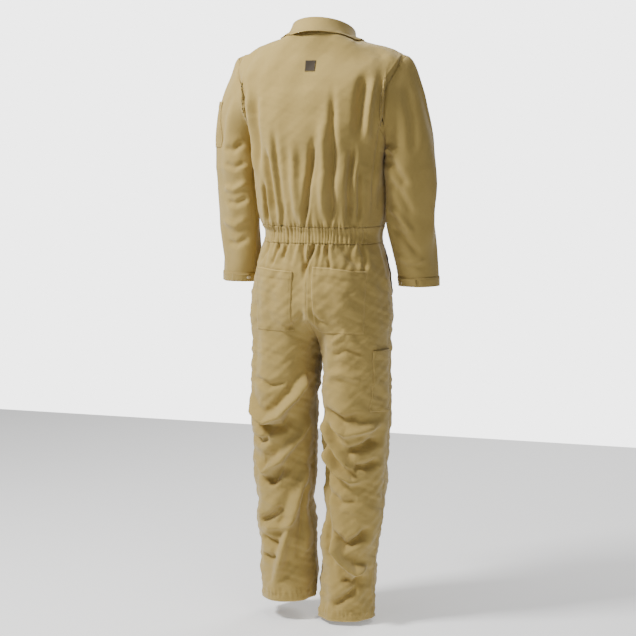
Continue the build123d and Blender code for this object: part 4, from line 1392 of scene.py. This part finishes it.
def build_chest(tree):
    for side, sign in SIDES:
        pocket, flap = f"chest_pocket_{side}", f"chest_flap_{side}"
        x0, x1, bottom, _ = across(pocket, sign)
        flap_x0, flap_x1, flap_bottom, flap_top = across(flap, sign)
        rows, columns = 46, 38
        starts = upright(x0, x1, flap_top - 0.008, bottom, -FAR, rows, columns)
        lift = pocket_lift(rows, columns, 0.0016, 0.0006)
        obj, _ = sewn_patch(pocket, tree, starts, (0, 1, 0), lift, "trunk")
        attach(obj, "trunk")
        rows, columns = 20, 40
        starts = upright(flap_x0, flap_x1, flap_top, flap_bottom + 0.006, -FAR, rows, columns)
        point = 1 - np.abs(np.linspace(-1, 1, columns))
        starts[..., 2] -= 0.006 * np.linspace(0, 1, rows)[:, None] * point[None]
        down = np.linspace(0, 1, rows)[:, None] * np.ones((1, columns))
        lift = 0.0052 + 0.0022 * smooth(down, 0.0, 0.25)
        obj, patch = sewn_patch(flap, tree, starts, (0, 1, 0), lift, flap)
        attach(obj, flap)
        eye = Vector(((flap_x0 + flap_x1) / 2, -FAR, flap_bottom + 0.011))
        found = np.array(tree.ray_cast(eye, Vector((0, 1, 0)))[0])
        normal = patch.normals[-6, columns // 2]
        snap_cap(f"chest_snap_{side}", found + normal * 0.0072, normal, 0.0055, flap)
        snap_cap(f"chest_socket_{side}", found + normal * 0.0034, normal, 0.0050, "trunk")


def build_hip_pockets(tree):
    half, x_top, x_bottom = 0.0075, 0.143, 0.176       # the welt's half width, and x of its ends
    for side, sign in SIDES:
        welt, bag = f"hip_welt_{side}", f"pocket_bag_{side}"
        low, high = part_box(welt)
        rows, columns = 44, 10
        starts = plane_grid([
            (sign * (x_top - half), -FAR, high[2]), (sign * (x_top + half), -FAR, high[2]),
            (sign * (x_bottom + half), -FAR, low[2] + 0.006), (sign * (x_bottom - half), -FAR, low[2]),
        ], rows, columns)
        s, t = np.linspace(0, 1, columns)[None], np.linspace(0, 1, rows)[:, None]
        lift = 0.0016 + 0.0045 * s * np.sin(np.pi * t)
        obj, _ = sewn_patch(welt, tree, starts, (0, 1, 0), lift, "trunk", "twill", ("first", "last"))
        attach(obj, "trunk")
        x0, x1, bottom, top = across(bag, sign)
        rows, columns = 30, 20
        starts = upright(x0, x1, top, bottom, -FAR, rows, columns)
        lift = -0.0035 - 0.003 * np.sin(np.pi * np.linspace(0, 1, rows))[:, None] * np.ones((1, columns))
        add_sheet(Patch(bag, tree, starts, (0, 1, 0), lift, 0.002), "trunk", "pocketing")


def build_cuffs(panels):
    for side, _ in SIDES:
        sleeve, tab_name = panels[f"sleeve_{side}"], f"cuff_tab_{side}"
        bottom = edge_distance(sleeve.grid)[3].mean(axis=1)
        start = int(np.argmax(bottom < 0.0262))
        grid, normals = sleeve.grid[start:], sleeve.normals[start:]
        centre = grid.mean(axis=(0, 1))
        cuff = Strip(f"cuff_{side}", grid + normals * 0.0014, centre)
        cuff.wear = (1 - smooth(edge_distance(cuff.grid)[3], 0, 0.002)) * 0.9
        for edge, distance in (("top", 0.0018), ("top", 0.0070), ("bottom", 0.0022)):
            stitch_row(f"sleeve_{side}_end", *edge_line(cuff, edge, distance))
        add_sheet(cuff, f"sleeve_{side}")
        low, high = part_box(tab_name)
        x, y = grid[-2, :, 0], grid[-2, :, 1]
        columns = np.nonzero((x > low[0]) & (x < high[0]) & (y > low[1] - 0.004))[0]
        part = slice(columns.min(), columns.max() + 1)
        tab = Strip(tab_name, grid[1:-1, part] + normals[1:-1, part] * 0.0040, centre)
        stitch_edges(tab_name, tab, ("first", "last", "top", "bottom"), (0.0018,))
        add_sheet(tab, tab_name)
        places = tab.grid.reshape(-1, 3)
        nearest = np.argmin(np.linalg.norm(places - box_middle(f"cuff_snap_{side}"), axis=1))
        normal = tab.normals.reshape(-1, 3)[nearest]
        snap_cap(f"cuff_snap_{side}", places[nearest], normal, 0.0052, tab_name)


def build_inside(panels, torso):
    """Elastic inside the waistband, pleat linings, hanging loop and label."""
    band = panels["waistband_back"]
    keep = np.abs(band.grid[0, :, 0]) < 0.150
    grid = band.grid[2:-2, keep] - band.normals[2:-2, keep] * 0.0026
    elastic = Strip("waist_elastic", grid, np.array([0, 0, -0.54]), 0.0016)
    add_sheet(elastic, "trunk", "elastic")
    back = panels["back_panel"]
    width = back.grid.shape[1]
    rows = slice(16, back.grid.shape[0] - 4)
    for side, columns in (("left", slice(6, 26)), ("right", slice(width - 26, width - 6))):
        grid = back.grid[rows, columns] - back.normals[rows, columns] * 0.0028
        add_sheet(Strip(f"action_pleat_{side}", grid, np.array([0, 0, -0.3])), "trunk", "twill_facing")
    starts = upright(0.022, -0.022, -0.072, -0.112, FAR, 12, 12)
    label = Patch("care_label", torso, starts, (0, -1, 0), np.full((12, 12), -0.0030), 0.0006)
    add_sheet(label, "trunk", "label_tape")
    recolour("hanger_loop", "twill_facing")


def recolour(node_name, kind):
    """Gives a CAD piece its finished material."""
    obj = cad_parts[node_name]
    obj.data.materials.clear()
    obj.data.materials.append(MATERIALS[kind])


def blend_leg(obj):
    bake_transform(obj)


def blend_sleeve(obj):
    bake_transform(obj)


# ---------------------------------------------------------------- stitching of the seams
def stitch_panels(panels):
    """The seams of the panels; the right seat carries the lapped middle seam."""
    arm = slice(0, ARM_ROWS * FINER + 1)
    above, below = slice(0, CROTCH_LINE), slice(CROTCH_LINE, None)
    back = panels["back_panel"]
    stitch_edges("trunk", back, ("first", "last"), LAPPED)
    stitch_edges("trunk", back, ("bottom",), BANDED)
    for side, _ in SIDES:
        front, leg = panels[f"front_panel_{side}"], f"leg_{side}"
        stitch_edges("trunk", front, ("first",), LAPPED, arm)
        stitch_edges("trunk", front, ("last",), BY_ZIP)
        stitch_edges("trunk", panels[f"waistband_front_{side}"], ("top", "bottom"), BANDED)
        seat = panels[f"trouser_back_{side}"]
        for distance in LAPPED:
            stitch_row(leg, *edge_line(seat, "first", distance))
            stitch_row(leg, *edge_line(seat, "last", distance, below))
            if side == "right":
                stitch_row("trunk", *edge_line(seat, "last", distance, above))
        for panel in (seat, panels[f"trouser_front_{side}"]):
            stitch_edges(leg, panel, ("bottom",), HEM)
        stitch_edges(f"sleeve_{side}", panels[f"sleeve_{side}"], ("first",), LAPPED)
    stitch_edges("trunk", panels["waistband_back"], ("top", "bottom"), BANDED)


RIDES = {                  # how each group of stitches is placed: riding on a body, or baked in place with a leg or sleeve
    "trunk": ("ride", "trunk"), "trunk_badge": ("ride", "trunk"),
    "chest_flap_left": ("ride", "chest_flap_left"), "chest_flap_right": ("ride", "chest_flap_right"),
    "cuff_tab_left": ("ride", "cuff_tab_left"), "cuff_tab_right": ("ride", "cuff_tab_right"),
    "sleeve_left_end": ("ride", "sleeve_left"), "sleeve_right_end": ("ride", "sleeve_right"),
    "leg_left": ("leg", "left"), "leg_right": ("leg", "right"),
    "sleeve_left": ("sleeve", "left"), "sleeve_right": ("sleeve", "right"),
}


def finish_stitches():
    for group, rows in ROWS_OF_STITCHES.items():
        obj = stitches_object(group, rows)
        how, what = RIDES[group]
        if how == "ride":
            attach(obj, what)
        elif how == "leg":
            blend_leg(obj)
        else:
            blend_sleeve(obj)


def finish_panels(panels):
    for name, panel in panels.items():
        obj = panel_object(panel)
        side = "left" if name.endswith("left") else "right"
        if name.startswith("trouser"):
            part = "seat" if "back" in name else "trouser_front"
            leg = "leg_back" if "back" in name else "leg_front"
            extra = [f"leg_hem_{side}"] if "back" in name else []
            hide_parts(f"{part}_{side}", f"{leg}_{side}", *extra)
            blend_leg(obj)
        elif name.startswith("sleeve"):
            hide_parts(name)
            blend_sleeve(obj)
        else:
            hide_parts(name)
            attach(obj, "trunk")


shape_cloth(PANELS)
TORSO = surface_of([PANELS[n] for n in ("back_panel", "front_panel_left", "front_panel_right")])
SLEEVE_LEFT = surface_of([PANELS["sleeve_left"]])
TROUSERS = surface_of([p for n, p in PANELS.items() if n.startswith("trouser")])
finish_panels(PANELS)
stitch_panels(PANELS)
build_collar(TORSO)
build_back_pockets(TROUSERS)
build_rule_pocket(TROUSERS)
build_pen_pocket(SLEEVE_LEFT)
build_badge(TORSO)
build_chest(TORSO)
build_hip_pockets(TROUSERS)
build_cuffs(PANELS)
build_inside(PANELS, TORSO)
for zip_side in ("left", "right"):
    recolour(f"zip_tape_{zip_side}", "zip_tape")
    recolour(f"zip_teeth_{zip_side}", "zip_brass")
for zip_node in ("zip_stops", "zip_slider_top", "zip_slider_bottom", "zip_pull_top", "zip_pull_bottom"):
    recolour(zip_node, "zip_brass")
finish_stitches()


# ---------------------------------------------------------------- light and camera
def look_at(obj, target):
    direction = Vector(target) - obj.location
    obj.rotation_euler = direction.to_track_quat("-Z", "Y").to_euler()


def area_light(name, place, target, size, power):
    data = bpy.data.lights.new(name, "AREA")
    data.shape, data.size, data.energy = "SQUARE", size, power
    obj = bpy.data.objects.new(name, data)
    bpy.context.scene.collection.objects.link(obj)
    obj.location = place
    look_at(obj, target)


def studio():
    low, high = CAD_BOX
    middle = [(a + b) / 2 for a, b in zip(low, high)]
    floor_z = low[2] - 0.012
    reach = 2.6
    corners = ((-1, -1), (1, -1), (1, 1), (-1, 1))
    floor = new_object("floor", [(x * reach, y * reach, floor_z) for x, y in corners], [(0, 1, 2, 3)])
    material, _, shader = new_material("floor")
    shader.inputs["Base Color"].default_value = (0.95, 0.95, 0.95, 1)
    shader.inputs["Roughness"].default_value = 0.9
    shader.inputs["Emission Color"].default_value = (1, 1, 1, 1)
    shader.inputs["Emission Strength"].default_value = 0.3
    floor.data.materials.append(material)
    world = bpy.data.worlds.new("studio")
    world.use_nodes = True
    tree = world.node_tree
    seen = tree.nodes["Background"]
    seen.inputs["Strength"].default_value = 4.0
    seen.inputs["Color"].default_value = (1, 1, 1, 1)
    soft = tree.nodes.new("ShaderNodeBackground")
    soft.inputs["Color"].default_value = (1.0, 0.98, 0.95, 1)
    soft.inputs["Strength"].default_value = 0.12
    path = tree.nodes.new("ShaderNodeLightPath")
    mix = tree.nodes.new("ShaderNodeMixShader")
    tree.links.new(path.outputs["Is Camera Ray"], mix.inputs[0])
    tree.links.new(soft.outputs[0], mix.inputs[1])
    tree.links.new(seen.outputs[0], mix.inputs[2])
    tree.links.new(mix.outputs[0], tree.nodes["World Output"].inputs["Surface"])
    bpy.context.scene.world = world
    area_light("key", (1.75, 1.35, 1.3), (0.0, 0.0, -0.25), 0.6, 150)
    area_light("fill", (-2.6, 2.8, 1.4), (0, 0, -0.3), 1.6, 24)
    area_light("front", (-0.9, -3.4, 1.2), middle, 1.8, 80)
    area_light("top", (0.2, 0.4, 2.2), middle, 1.2, 34)


def camera():
    azimuth, elevation, distance = math.radians(198), math.radians(7), 4.5
    target = Vector((0.012, 0.0, -0.777))
    data = bpy.data.cameras.new("camera")
    data.lens, data.sensor_width = 94, 36
    obj = bpy.data.objects.new("camera", data)
    bpy.context.scene.collection.objects.link(obj)
    obj.location = target + distance * Vector(
        (
            math.sin(azimuth) * math.cos(elevation),
            -math.cos(azimuth) * math.cos(elevation),
            math.sin(elevation),
        )
    )
    look_at(obj, target)
    bpy.context.scene.camera = obj


studio()
camera()
